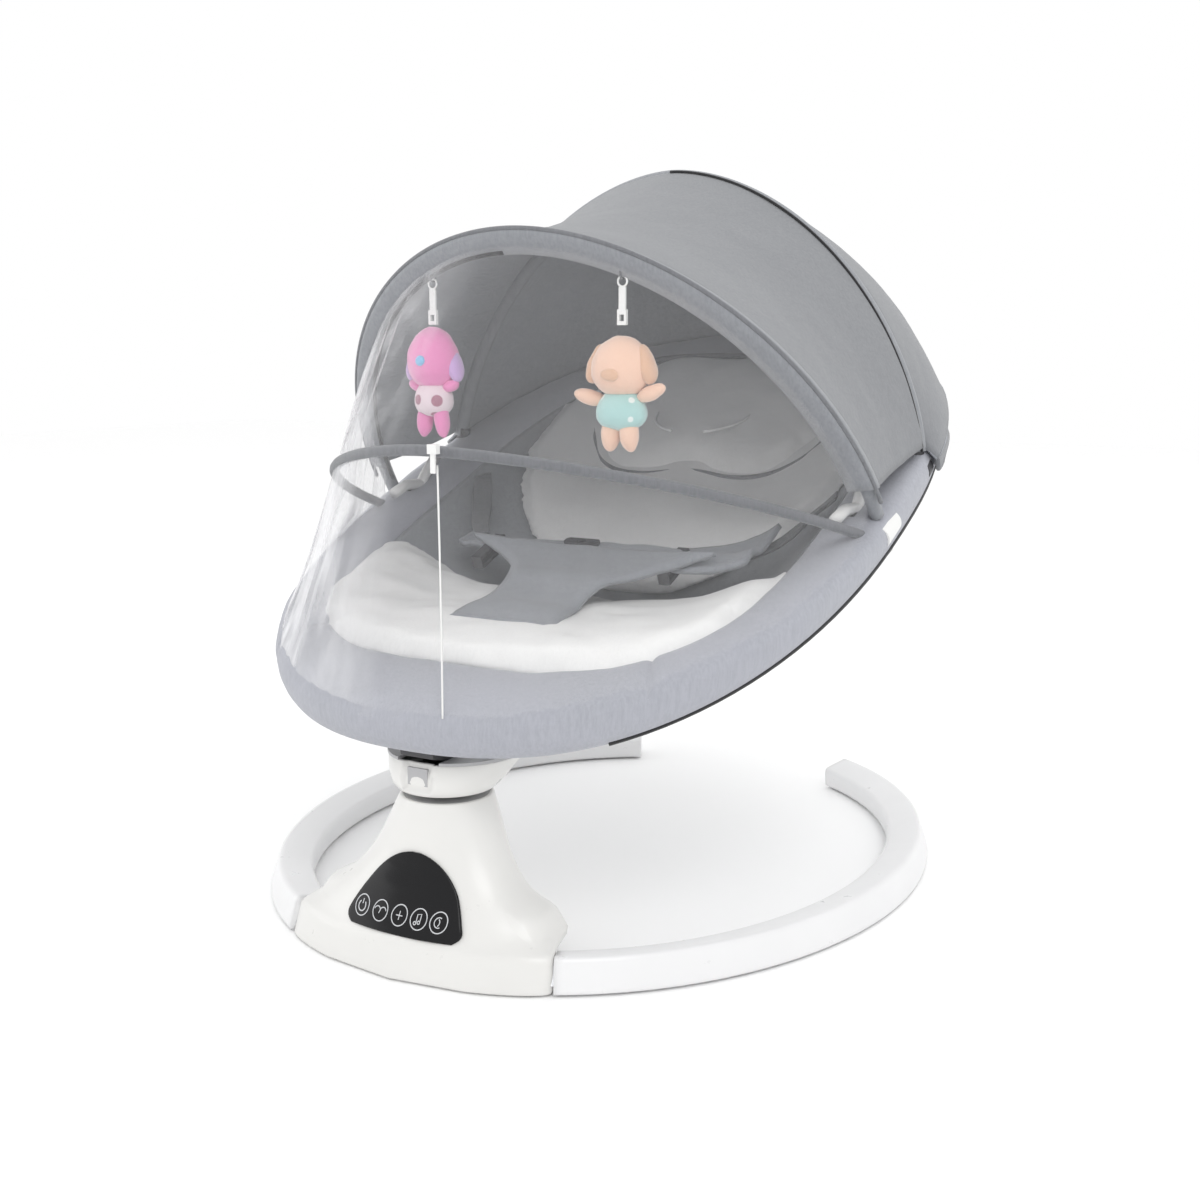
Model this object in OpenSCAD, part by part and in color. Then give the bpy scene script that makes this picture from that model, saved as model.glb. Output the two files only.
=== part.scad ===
// Baby swing: an open ring base with a control pylon at its front, a hub that swings and
// reclines, and a padded seat with a folding canopy, a net bow and two hanging toys.
// Millimetres, +Z up, front towards -Y. The origin is on the floor, in the middle of the
// whole object's footprint.

/* [Ring base] */
// Half the width of the ring, outside
ring_a = 290; // [280:1:300]
// Half the length of the ring's ellipse, outside
ring_b = 343; // [335:1:350]
// Height of the ring tube's outer edge
ring_h = 28.4; // [26:0.2:31]
// Width of the ring tube's foot
ring_w = 38; // [34:1:42]
// Half the angle that the ring leaves open at the back
ring_open = 27.4; // [22:0.2:34]
// Half the angle that the pylon's foot spans at the front
foot_span = 25.3; // [24.5:0.1:26]

/* [Pylon] */
// Height of the pylon's neck
neck_h = 126; // [122:1:130]
// Radius of the pylon's neck
neck_r = 37; // [36:0.5:39]
// Wall of the pylon's shells
wall = 3; // [2.5:0.5:3.5]
// Width of the control panel at its foot
panel_w = 112; // [100:1:116]
// Lowest point of the control panel
panel_lo = 32; // [30:1:34]
// Highest point of the control panel
panel_hi = 88; // [80:1:92]

/* [Hub] */
// Diameter of the swing shaft
shaft_d = 14; // [12:1:16]
// Backward lean of the swing axis, which brings the seat back to the middle
swing_lean = 6; // [4:0.5:8]
// Radius of the bowl's rim
bowl_r = 54; // [52:1:56]
// Height of the bowl's rim above the floor
bowl_top = 156; // [154:1:158]

/* [Seat] */
// Backward tilt of the seat frame
seat_tilt = 22; // [20:0.5:24]
// Half the width of the seat tube's loop
loop_w = 252; // [246:1:258]
// Half the length of the seat tube's loop
loop_l = 366.7; // [360:0.1:372]
// Squareness of the loop: 2 is an ellipse
loop_n = 2.4; // [2.2:0.05:2.6]
// Diameter of the seat tube
tube_d = 16; // [14:1:17]
// Thickness of the white pads
pad_t = 22; // [18:1:26]

/* [Canopy] */
// How far the canopy pivots lie towards the foot from the loop's middle
pivot_v = -27; // [-30:1:-24]
// Diameter of the bows
bow_d = 8; // [7:0.5:9]
// Reach of the front bow from its pivots
front_h = 290; // [286:1:294]
// Angle of the front bow above the line to the head
front_ang = 126.5; // [124:0.5:128]
// Reach of the net bow from its pivots
net_h = 314; // [308:1:318]
// Angle of the net bow above the line to the head
net_ang = 164; // [161:0.5:166]
// Height of the rear bow above its feet
rear_h = 280; // [276:1:284]

/* [Hidden] */

white = [0.93, 0.93, 0.92];
grey = [0.66, 0.67, 0.72];
dark = [0.28, 0.29, 0.31];
steel = [0.7, 0.71, 0.73];

// The origin lies this far behind the ring's middle.
mid_y = -34;
// Swing axis: it passes through this point.
hub_y = mid_y - 262;
hub_z = neck_h;
// Recline axis
pin_y = mid_y - 252;
pin_z = 146;
pin_d = 8;
// Front of the recline button, its middle height, and the stop behind its spring
button_y = mid_y - 300;
button_z = 146;
stop_y = mid_y - 282;
// Middle of the seat tube's loop
seat_y = mid_y + 40;
seat_z = 324.5;
// Canopy pivots: half the distance between them, and their height off the tube's plane
pivot_x = 250;
pivot_w = 4;
// Feet of the rear bow
rear_x = 248;
rear_v = 88;
rear_y = seat_y + rear_v * cos(seat_tilt);
rear_z = seat_z + rear_v * sin(seat_tilt) - 17;
// The angle at which the rear bow's bar begins, in its clip
rear_from = 7;
// Places of the toys and the zip pull round their bows
pink_t = 111;
peach_t = 68;
zip_t = 84;
bow_r = bow_d / 2;
tube_r = tube_d / 2;
steps = 36;
// Inward lean of the ring's outer wall, and the fall of its top
lean = 9;
slope = 7.2;
foot_angles = [60, 105, 145];
// The neck's distance ahead of the ring's middle
neck_at = 262;
inlet_z = 62;
key_x = [-38, -19, 0, 19, 38];
bearing_d = 30;

function spow(c, e) = sign(c) * pow(abs(c), e);
function lerp(a, b, s) = a + (b - a) * s;
function unit(v) = v / norm(v);

// A closed skin through rings of points, with both ends capped or joined to each other.
// Each ring turns anticlockwise about the direction in which the rings advance, or
// clockwise where back is true. Where strip is true each ring runs along one side of a wall
// and back along the other, and the ends are closed from side to side.
module loft(rings, joined = false, back = false, strip = false) {
  n = len(rings[0]);
  m = len(rings);
  last = joined ? m - 1 : m - 2;
  sides = [for (i = [0:last], j = [0:n - 1])
    let (a = i * n + j, b = i * n + (j + 1) % n, k = ((i + 1) % m) * n)
    each [[a, k + (j + 1) % n, b], [a, k + j, k + (j + 1) % n]]];
  across = [for (j = [0:n / 2 - 2]) each [[j, j + 1, n - 2 - j], [j, n - 2 - j, n - 1 - j]]];
  caps = joined ? [] : strip ? concat(across, [for (f = across) [for (k = [2, 1, 0]) (m - 1) * n + f[k]]])
    : [[for (j = [0:n - 1]) j], [for (j = [n - 1:-1:0]) (m - 1) * n + j]];
  faces = concat(sides, caps);
  polyhedron([for (r = rings) each r],
    back ? [for (f = faces) [for (j = [len(f) - 1:-1:0]) f[j]]] : faces, convexity = 6);
}

// A skin between two grids of points, rows by columns, closed round its edges.
module sheet(outer, inner, back = false) {
  loft([for (i = [0:len(outer) - 1])
    concat(outer[i], [for (j = [len(inner[i]) - 1:-1:0]) inner[i][j]])], back = back, strip = true);
}

// A round bar along points, with square ends. side is a direction never along the bar.
module bar(points, r, side, sides = 10) {
  m = len(points);
  loft([for (i = [0:m - 1])
    let (t = unit(points[min(i + 1, m - 1)] - points[max(i - 1, 0)]),
         u = unit(cross(t, side)), v = cross(t, u))
    [for (k = [0:sides - 1]) points[i] + r * (cos(360 * k / sides) * u
      + sin(360 * k / sides) * v)]]);
}

module screw(len, d = 3, head = 6) {
  cylinder(h = 2, d = head, $fn = 24);
  translate([0, 0, -len]) cylinder(h = len + 0.5, d = d, $fn = 24);
}

module both_sides() {
  children();
  mirror([1, 0, 0]) children();
}

// ---- Ring base ---------------------------------------------------------------------

// A point of the ring at an angle from the front, this far in from its outer foot.
function ring_pt(t, inset, z) = [(ring_a - inset) * sin(t), mid_y - (ring_b - inset) * cos(t), z];

// The ring tube's section, shrunk by off. It leans inwards and slopes on top.
function ring_section(t, off) = [
  ring_pt(t, off, 1 + off),
  ring_pt(t, lean + off, ring_h - off),
  ring_pt(t, ring_w + 1 - off, ring_h - slope - off),
  ring_pt(t, ring_w - off, 1 + off)];

module ring_bar(from, to, off, n) {
  loft([for (i = [0:n]) ring_section(lerp(from, to, i / n), off)], back = true);
}

// A hollow tube: out along its outside and back along its inside.
module ring_tube() {
  from = foot_span + 0.15;
  to = 180 - ring_open;
  color(white) loft(concat(
    [for (i = [0:steps]) ring_section(lerp(from, to, i / steps), 0)],
    [for (i = [steps:-1:0]) ring_section(lerp(from, to, i / steps), 2)]),
    joined = true, back = true);
}
module ring_tube_right() ring_tube();
module ring_tube_left() mirror([1, 0, 0]) ring_tube();

// Plugs that join the tubes to the pylon's foot
module ring_joiners() {
  color(steel) both_sides() ring_bar(foot_span - 4, foot_span + 7, 6, 8);
}

module end_caps() {
  color(white) both_sides() {
    ring_bar(180.05 - ring_open, 181.2 - ring_open, 0, 2);
    ring_bar(177 - ring_open, 180.1 - ring_open, 2.4, 2);
  }
}

module rubber_feet() {
  color(dark) both_sides() for (t = foot_angles)
    translate(ring_pt(t, ring_w / 2, 0)) cylinder(h = 1, d = 18, $fn = 36);
}

// ---- Pylon -------------------------------------------------------------------------

// Rings up the pylon above its foot: height, half width, front, back, squareness, and how
// far its ends bend back. The front and back are distances ahead of the ring's middle.
pylon_rows = [
  [31, 113, 329, 272, 6, 30],
  [36, 105, 326, 264, 3.6, 22],
  [44, 97, 322, 258, 3, 16],
  [52, 86, 317, 252, 2.8, 11],
  [62, 73, 311, 246, 2.5, 6],
  [76, 61, 306, 239, 2.3, 3],
  [92, 53, 302, 232, 2.1, 1],
  [108, 45.5, 300, 227, 2, 0],
  [neck_h - 1, neck_r, neck_at + neck_r, neck_at - neck_r, 2, 0]];

// One point round the pylon's foot, which follows the ring
function foot_pt(t, off, z, span = foot_span) = let (h = (z - 1) / (ring_h - 1),
  front = lean * h + off, back = ring_w + h - off)
  ring_pt((span - off / 5) * spow(cos(t), 2 / 9),
    (front + back) / 2 + (back - front) / 2 * spow(sin(t), 2 / 9), z);

// One point round the pylon above its foot
function row_pt(r, t, off, z) = let (x = (r[1] - off) * spow(cos(t), 2 / r[4]))
  [x, mid_y - (r[2] + r[3]) / 2 + ((r[2] - r[3]) / 2 - off) * spow(sin(t), 2 / r[4])
    + r[5] * pow(x / r[1], 2), z];

// One ring of a half shell from angle a to b: outside, then back along the inside. At the
// shoulder, where the shell is nearly level, the outside is a wall's thickness higher.
// Low down it stops short of the foot's ends, where the ring tubes enter.
function half_ring(i, a, b, n = 18) = let (low = i < 2, e = low ? 42 : 0)
  [for (side = [0, 1], k = [0:n])
    let (t = lerp(a + e, b - e, (side == 0 ? k : n - k) / n), off = side * wall)
    low ? foot_pt(t, off, i == 0 ? 1 : ring_h + wall - off)
      : let (r = pylon_rows[i - 2])
        row_pt(r, t, off, i == 2 ? r[0] + (wall - off) * pow(cos(t), 4) : r[0])];

module half_shell(a, b) {
  loft([for (i = [0:len(pylon_rows) + 1]) half_ring(i, a, b)], strip = true);
}

module front_housing() {
  color(white) half_shell(180.3, 359.7);
}

module rear_housing() {
  color(white) difference() {
    half_shell(0.3, 179.7);
    translate([0, mid_y - 240, inlet_z]) rotate([90, 0, 0]) cylinder(h = 30, d = 10.4, $fn = 36);
  }
}

// A disc that closes the neck round the shaft
module neck_collar() {
  color(grey) translate([0, mid_y - neck_at, neck_h - 3.6]) difference() {
    cylinder(h = 2.6, r = neck_r - wall - 0.7, $fn = 72);
    translate([0, 0, -1]) cylinder(h = 8, r = 15, $fn = 60);
  }
}

// The pylon's front surface: how far it lies along Y at a place across and up it
function row_front(r, x, off) = mid_y - (r[2] + r[3]) / 2 + r[5] * pow(x / r[1], 2)
  - ((r[2] - r[3]) / 2 - off) * pow(1 - pow(min(abs(x) / (r[1] - off), 1), r[4]), 1 / r[4]);
function front_at(x, z, off) = let (
  i = max([for (k = [0:len(pylon_rows) - 2]) pylon_rows[k][0] <= z ? k : 0]),
  a = pylon_rows[i], b = pylon_rows[i + 1])
  lerp(row_front(a, x, off), row_front(b, x, off), (z - a[0]) / (b[0] - a[0]));

// Half the panel's width, s of the way up it: round corners, slanting sides, a domed top
function panel_half(s) = panel_w / 2 * (1 - 0.4 * s) * sqrt(1 - pow(s, 3.4))
  * (1 - 0.17 * pow(max(0, 1 - s / 0.16), 2.2));

function panel_grid(off) = [for (s = [0, 0.03, 0.08, 0.16, 0.28, 0.42, 0.56, 0.7, 0.82, 0.91, 0.97, 0.995])
  let (z = lerp(panel_lo, panel_hi, s))
  [for (k = [-8:8]) let (x = panel_half(s) * k / 8) [x, front_at(x, z, off), z]]];

// The lens is a curved cover that lies on the front housing.
module panel_lens() {
  color([0.04, 0.04, 0.045]) sheet(panel_grid(-1.4), panel_grid(-0.45));
}

module control_board() {
  color([0.1, 0.35, 0.2]) translate([0, mid_y - 312, 40]) rotate([-22, 0, 0]) {
    translate([-36, 0, 0]) cube([72, 1.6, 30]);
    for (x = key_x) translate([x * 0.8, 0.1, 9]) rotate([90, 0, 0]) cylinder(h = 1, r = 4.5, $fn = 32);
    translate([-20, 1.5, 14]) cube([12, 2, 12]);
  }
}

module speaker() {
  color(dark) translate([46, mid_y - 283, 9]) {
    cylinder(h = 5, d = 26, $fn = 48);
    translate([0, 0, 4.9]) cylinder(h = 7, d = 15, $fn = 48);
  }
}

module dc_inlet() {
  color(dark) translate([0, mid_y - 246, inlet_z]) rotate([90, 0, 0]) difference() {
    union() {
      cylinder(h = 10.5, d = 10, $fn = 36);
      translate([0, 0, 9.3]) cylinder(h = 1.2, d = 14, $fn = 36);
    }
    translate([0, 0, -1]) cylinder(h = 9.5, d = 5.5, $fn = 36);
  }
}

// The cover closes the pylon's foot; its slots let the speaker's sound out.
cover_z = 2.2;
cover_span = 21;
module bottom_cover() {
  color(white) translate([0, 0, cover_z]) linear_extrude(1.6) difference() {
    polygon([for (k = [0:47]) let (p = foot_pt(7.5 * k, wall + 2.2, 1, cover_span)) [p[0], p[1]]]);
    for (i = [-3:3]) translate([46 + 3.4 * i, mid_y - 316]) square([1.6, 12]);
    for (q = cover_holes) translate([q[0], q[1]]) circle(d = 3.4, $fn = 24);
  }
}

cover_holes = [for (t = [-15, 0, 15]) ring_pt(t, ring_w / 2, 0)];
joiner_holes = [for (x = [-1, 1]) ring_pt(x * (foot_span - 3), ring_w / 2, 0)];

// Screws from below: three through the cover and one into each joiner
module base_screws() {
  color(steel) {
    for (q = cover_holes) translate([q[0], q[1], cover_z - 0.05]) rotate([180, 0, 0]) screw(6);
    for (q = joiner_holes) translate([q[0], q[1], 2.4]) rotate([180, 0, 0]) screw(1.6, 3.5, 6.5);
  }
}

// Puts children on the swing axis, with +Z up along it.
module on_swing_axis() {
  translate([0, hub_y, hub_z]) rotate([-swing_lean, 0, 0]) children();
}

module bearing_block() {
  color(dark) on_swing_axis() difference() {
    union() {
      translate([0, 0, -52]) cylinder(h = 46, d = bearing_d + 8, $fn = 72);
      translate([0, 0, -52]) cylinder(h = 4, d = 43, $fn = 72);
    }
    translate([0, 0, -60]) cylinder(h = 80, d = bearing_d - 6, $fn = 60);
    translate([0, 0, -14]) cylinder(h = 20, d = bearing_d + 0.04, $fn = 60);
    translate([0, 0, -60]) cylinder(h = 16, d = bearing_d + 0.04, $fn = 60);
  }
}

module bearing(z) {
  color(steel) on_swing_axis() translate([0, 0, z]) difference() {
    cylinder(h = 8, d = bearing_d, $fn = 60);
    translate([0, 0, -1]) cylinder(h = 10, d = shaft_d + 0.06, $fn = 60);
  }
}
module bearings() {
  bearing(-14);
  bearing(-52);
}

// The drive's coil sits under the shaft, in the magnet's path.
module drive_coil() {
  color([0.75, 0.42, 0.2]) on_swing_axis() translate([0, -8, -84]) difference() {
    union() {
      cylinder(h = 10, d = 26, $fn = 48);
      cylinder(h = 1.5, d = 28, $fn = 48);
    }
    translate([0, 0, 4]) cylinder(h = 12, d = 8, $fn = 36);
  }
}

// ---- Hub ---------------------------------------------------------------------------

// The bowl turns about the shaft. Its floor has a hole for the core, and its front has
// a window for the recline button.
bowl_y = mid_y - 249;
module hub_bowl() {
  z = hub_z + 4;
  color(white) difference() {
    translate([0, bowl_y, 0]) rotate_extrude($fn = 96)
      polygon([[0, z], [36, z], [41, z + 2.5], [46, z + 6], [50, z + 11.5], [bowl_r - 1, z + 18],
        [bowl_r, bowl_top], [bowl_r - 3, bowl_top], [bowl_r - 4, z + 18.5], [47.2, z + 12.8],
        [43.5, z + 8], [39, z + 4.8], [35, z + 3], [0, z + 3]]);
    on_swing_axis() translate([0, 0, -5]) cylinder(h = 30, r = 16, $fn = 60);
    translate([-12.5, bowl_y - 70, z + 7.5]) cube([25, 40, 40]);
  }
}

// The core clamps the shaft, holds the recline pin between two ears, and has a stop for
// the button's spring.
module hub_core() {
  color(dark) difference() {
    union() {
      on_swing_axis() translate([0, 0, 2]) cylinder(h = 8.5, d = 26, $fn = 60);
      translate([-27, pin_y - 9, hub_z + 7.6]) cube([54, 18, 3.8]);
      for (x = [-27, 19]) translate([x, pin_y - 8, hub_z + 7.6]) cube([8, 16, 12.4]);
      for (x = [-27, 19]) translate([x, pin_y, pin_z]) rotate([0, 90, 0])
        cylinder(h = 8, d = 16, $fn = 48);
      translate([-8, stop_y, hub_z + 7.6]) cube([16, pin_y - stop_y - 5, 3.8]);
      translate([-8, stop_y, hub_z + 7.6]) cube([16, 2, 18]);
    }
    on_swing_axis() translate([0, 0, -2]) cylinder(h = 10.1, d = shaft_d + 0.02, $fn = 60);
    translate([-40, pin_y, pin_z]) rotate([0, 90, 0])
      cylinder(h = 80, d = pin_d + 0.02, $fn = 48);
  }
}

// Two halves of the plate that covers the bowl, either side of the bracket's slot
module hub_plate() {
  color(dark) translate([0, bowl_y, bowl_top + 0.1]) difference() {
    cylinder(h = 2.4, r = bowl_r - 1, $fn = 72);
    translate([-19, -60, -1]) cube([38, 87, 5]);
    hub_screw_places() cylinder(h = 20, d = 3.2, center = true, $fn = 24);
  }
}

module hub_screw_places() {
  for (a = [20, 160, 200, 340]) translate([40 * cos(a), 40 * sin(a), 0]) children();
}

module hub_screws() {
  color(steel) translate([0, bowl_y, bowl_top + 2.6]) hub_screw_places() screw(2.2);
}

module recline_pin() {
  color(steel) translate([-29, pin_y, pin_z]) rotate([0, 90, 0])
    cylinder(h = 58, d = pin_d, $fn = 48);
}

module swing_shaft() {
  color(steel) on_swing_axis() difference() {
    union() {
      translate([0, 0, -66]) cylinder(h = 74, d = shaft_d, $fn = 60);
      translate([0, 0, -5.9]) cylinder(h = 3.5, d = 20, $fn = 60);
    }
    translate([0, 0, -55]) difference() {
      cylinder(h = 1.6, d = shaft_d + 2, $fn = 60);
      translate([0, 0, -1]) cylinder(h = 4, d = shaft_d - 2, $fn = 60);
    }
    translate([0, 0, -67]) cylinder(h = 9, d = 4, $fn = 36);
  }
}

module shaft_circlip() {
  color(dark) on_swing_axis() translate([0, 0, -54.8]) difference() {
    cylinder(h = 1.2, d = 20, $fn = 60);
    translate([0, 0, -1]) cylinder(h = 4, d = shaft_d - 1.9, $fn = 60);
    translate([-3, 0, -1]) cube([6, 20, 4]);
  }
}

// The arm is fixed to the shaft's lower end and carries the magnet over the coil.
module magnet_arm() {
  color(dark) on_swing_axis() difference() {
    union() {
      translate([0, 0, -69]) cylinder(h = 9, d = 20, $fn = 48);
      translate([0, -8, -69]) cylinder(h = 3, d = 22, $fn = 48);
    }
    translate([0, 0, -66]) cylinder(h = 20, d = shaft_d + 0.04, $fn = 60);
    translate([0, 0, -70]) cylinder(h = 20, d = 4, $fn = 36);
  }
}

module drive_magnet() {
  color(steel) on_swing_axis() translate([0, -8, -73.05]) cylinder(h = 4, d = 16, $fn = 48);
}

// Button at the bowl's front: it slides in and lifts the latch. Its wings keep it in.
module recline_button() {
  color([0.74, 0.74, 0.76]) {
    translate([-9, button_y, button_z - 7]) cube([18, 8, 13.5]);
    translate([-14, button_y + 6, button_z - 1.5]) cube([28, 2, 8]);
  }
}

// The spring between the button and the core's stop
module button_spring() {
  turns = 4;
  from = button_y + 8.6;
  to = stop_y - 0.6;
  color(steel) translate([0, 0, button_z])
    bar([for (i = [0:turns * 12]) [5.2 * cos(30 * i), lerp(from, to, i / (turns * 12)),
      5.2 * sin(30 * i)]], 0.45, [0, 1, 0], 6);
}

// ---- Seat frame --------------------------------------------------------------------

// Puts children in the seat's own frame: X across, Y towards the head, Z off the seat.
module in_seat() {
  translate([0, seat_y, seat_z]) rotate([seat_tilt, 0, 0]) children();
}

// A point of the part's frame, given in the seat's own frame
function seat_pt(p) = [p[0], seat_y + p[1] * cos(seat_tilt) - p[2] * sin(seat_tilt),
  seat_z + p[1] * sin(seat_tilt) + p[2] * cos(seat_tilt)];

// A point of the loop at an angle from +X, moved outwards and up off the seat.
function loop_pt(t, out = 0, up = 0) = [(loop_w + out) * spow(cos(t), 2 / loop_n),
  (loop_l + out) * spow(sin(t), 2 / loop_n), up];

// The angle at which the loop passes a place along the seat
function loop_at(v) = asin(spow(v / loop_l, loop_n / 2));

mount_half = 17;
module tube(from, to) {
  in_seat() bar([for (i = [0:steps]) loop_pt(lerp(from, to, i / steps))], tube_r, [0, 0, 1]);
}
module front_tube() {
  color(white) tube(180 - loop_at(pivot_v) + 0.2, 360 + loop_at(pivot_v) - 0.2);
}
module rear_tube() {
  color(white) tube(loop_at(pivot_v) + 0.2, 180 - loop_at(pivot_v) - 0.2);
}

// How much fuller the border is: most at the foot, least at the sides.
function fullness(t) = sin(t) < 0 ? lerp(0.62, 1, pow(-sin(t), 2)) : lerp(0.62, 0.8, pow(sin(t), 2));
// How far the border reaches inwards from the tube
function reach(t) = sin(t) < 0 ? lerp(52, 72, pow(-sin(t), 3)) : lerp(52, 64, pow(sin(t), 3));

// The border's section: a fat lip round a channel for the tube, open below. Near the
// bracket the channel opens wider.
function border_section(t) = let (b = fullness(t), r = reach(t), c = tube_r + 2.6,
  w = abs(loop_pt(t)[0]) < 60 && sin(t) < 0 ? 1 : 0)
  [for (p = concat(
    [[lerp(1.5, 14, w), -22 * b], [lerp(13, 17, w) * b, -18 * b], [20 * b, -6 * b], [19 * b, 8 * b],
     [11 * b, 19 * b], [-4, 25 * b], [-24, 24 * b], [-r * 0.7, lerp(24 * b, 8, 0.6)], [-r + 2, 8],
     [-r, 2], [-r + 6, -5], [-r * 0.55, -10 * b], [-20, -18 * b], [lerp(-1.5, -14, w), -22 * b]],
    [for (k = [0:9]) let (a = lerp(lerp(-98, -160, w), lerp(-442, -380, w), k / 9))
      [c * cos(a), c * sin(a)]]))
   loop_pt(t, p[0], p[1])];

// A length of border between two places round the loop
module border_part(from, to, n) {
  loft([for (i = [0:n]) border_section(lerp(from, to, i / n))], back = true);
}

// The border is open round the mounts and round the feet of the rear bow.
module seat_border() {
  below = loop_at(pivot_v - 53);
  above = loop_at(pivot_v + mount_half + 1);
  foot = loop_at(rear_v - 9);
  head = loop_at(rear_v + 19);
  color(grey) in_seat() {
    border_part(180 - below, 360 + below, 32);
    border_part(head, 180 - head, 24);
    border_part(above, foot, 2);
    border_part(180 - foot, 180 - above, 2);
  }
}

// Depth of the bucket below the loop at a place along the seat
function sag(v) = v < -80 ? lerp(26, 74, max(0, (v + 300) / 220)) : lerp(74, 34, min(1, (v + 80) / 340));

// One ring of the bucket: s is 0 at its rim and 1 at its flat middle.
function bucket_ring(s, off) = [for (i = [0:35])
  let (t = 10 * i, k = 1 - s * 0.62, c = loop_pt(t, -66, 0), v = c[1] * lerp(1, 0.72, s))
  [c[0] * k, v, -12 - off - (sag(v) - 12) * pow(s, 0.55)]];

module seat_bucket() {
  color(grey)
  in_seat() loft(concat(
    [[for (p = bucket_ring(1, 0)) [p[0] * 0.05, p[1] * 0.05 + 30, -66]]],
    [for (s = [1, 0.7, 0.4, 0.2, 0.05, 0]) bucket_ring(s, 0)],
    [for (s = [0, 0.05, 0.2, 0.4, 0.7, 1]) [for (p = bucket_ring(s, 4)) [p[0] * 1.02, p[1] * 1.02, p[2]]]],
    [[for (p = bucket_ring(1, 4)) [p[0] * 0.05, p[1] * 0.05 + 30, -70]]]), back = true);
}

// A pad on the bucket's middle: v0 to v1 along the seat, w0 and w1 its half widths.
module pad(v0, v1, w0, w1, rise0, rise1, t) {
  n = 9;
  in_seat() loft([for (i = [0:n])
    let (s = i / n, v = lerp(v0, v1, s), end = pow(sin(180 * lerp(0.04, 0.96, s)), 0.35),
         w = lerp(w0, w1, s) * end, z = lerp(rise0, rise1, s), h = t * end)
    [for (k = [0:15]) let (a = 22.5 * k)
      [w * spow(cos(a), 0.6), v, z + h / 2 * spow(sin(a), 0.8)]]], back = true);
}

module lower_pad() color(white) pad(-284, -92, 122, 168, 4, -32, pad_t);
module back_pad() color(white) pad(-68, 286, 150, 150, -48, -2, pad_t);
module head_pillow() color(white) pad(112, 292, 118, 128, -4, 19, pad_t * 0.9);

// Straps
module crotch_strap() {
  color(grey)
  in_seat() {
    loft([for (q = [[-252, 40, 16], [-238, 41, 18], [-200, 34, 13], [-165, 32, 8], [-130, 48, 2]])
      [[-q[1], q[0], q[2]], [-q[1], q[0] + 0.5, q[2] + 5], [q[1], q[0] + 0.5, q[2] + 5],
       [q[1], q[0], q[2]]]]);
    loft([for (x = [-88, -44, 0, 44, 88]) let (z = -1 - 6 * pow(x / 88, 2))
      [[x, -129.5, z], [x, -102, z - 3], [x, -102, z + 2], [x, -129.5, z + 4]]]);
  }
}

module waist_straps() {
  color(grey)
  both_sides() in_seat() loft([for (q = [[99.5, -2], [130, 4], [160, 8], [185, 4]])
    [[q[0], -126, q[1]], [q[0], -88, q[1] - 4], [q[0], -88, q[1] - 1], [q[0], -126, q[1] + 3]]]);
}

module buckle() {
  color(dark)
  in_seat() translate([0, -97, 1]) rotate([-6, 0, 0]) difference() {
    linear_extrude(8) offset(r = 4, $fn = 32) square([26, 3], center = true);
    translate([0, 0, 5]) cylinder(h = 4, d = 8, $fn = 32);
  }
}

module strap_sliders() {
  color(dark)
  both_sides() in_seat() translate([88.7, -129, -9]) difference() {
    cube([10.4, 44, 12]);
    translate([-1, 2.2, 4]) cube([20, 39.6, 4.6]);
  }
}

// Bracket: it turns on the recline pin and carries the foot of the seat tube.
foot_y = seat_pt([0, -loop_l, 0])[1];
foot_z = seat_pt([0, -loop_l, 0])[2];
module seat_bracket() {
  color(dark) difference() {
    union() {
      translate([-17, pin_y, pin_z]) rotate([0, 90, 0]) cylinder(h = 34, r = 8, $fn = 48);
      translate([-15, 0, 0]) rotate([90, 0, 90]) linear_extrude(30)
        polygon([[pin_y - 7, pin_z + 4], [pin_y + 7, pin_z + 4], [pin_y + 7, pin_z + 11],
          [pin_y - 10, pin_z + 17], [foot_y + 15, foot_z - 19], [foot_y + 13, foot_z - 13],
          [foot_y - 1, foot_z - 17], [foot_y, foot_z - 26]]);
      in_seat() translate([-28, -loop_l, 0]) rotate([90, 0, 90]) linear_extrude(56)
        polygon([[-10, -17], [10, -17], [6, -4], [-6, -4]]);
    }
    in_seat() translate([-40, -loop_l + 0.5, 0]) rotate([0, 90, 0])
      cylinder(h = 80, r = tube_r + 0.9, $fn = 48);
    translate([-18, pin_y, pin_z]) rotate([0, 90, 0])
      cylinder(h = 36, d = pin_d + 0.08, $fn = 48);
    bracket_screw_places() cylinder(h = 20, d = 4.2, $fn = 24);
  }
}

module bracket_screw_places() {
  in_seat() for (x = [-22, 22]) translate([x, -loop_l, -17]) children();
}

module bracket_screws() {
  color(steel) bracket_screw_places() translate([0, 0, -0.1]) rotate([180, 0, 0]) screw(6, 4, 7.5);
}

// Mount: a sleeve round the tube's joint, with a boss on its inside for the two bows.
module canopy_mounts() {
  color(white) both_sides() difference() {
    in_seat() union() {
      translate([pivot_x + 1.5, pivot_v, 0]) rotate([90, 0, 0])
        cylinder(h = 2 * mount_half - 2, r = tube_r + 3.5, center = true, $fn = 48);
      translate([pivot_x - 13, pivot_v, pivot_w]) rotate([0, 90, 0])
        cylinder(h = 8, r = 9, $fn = 48);
    }
    in_seat() translate([pivot_x + 1.5, pivot_v, 0]) rotate([90, 0, 0])
      cylinder(h = 60, r = tube_r + 0.9, center = true, $fn = 48);
    in_seat() translate([pivot_x - 20, pivot_v, pivot_w]) rotate([0, 90, 0])
      cylinder(h = 12, d = 6.1, $fn = 36);
  }
}

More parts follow.
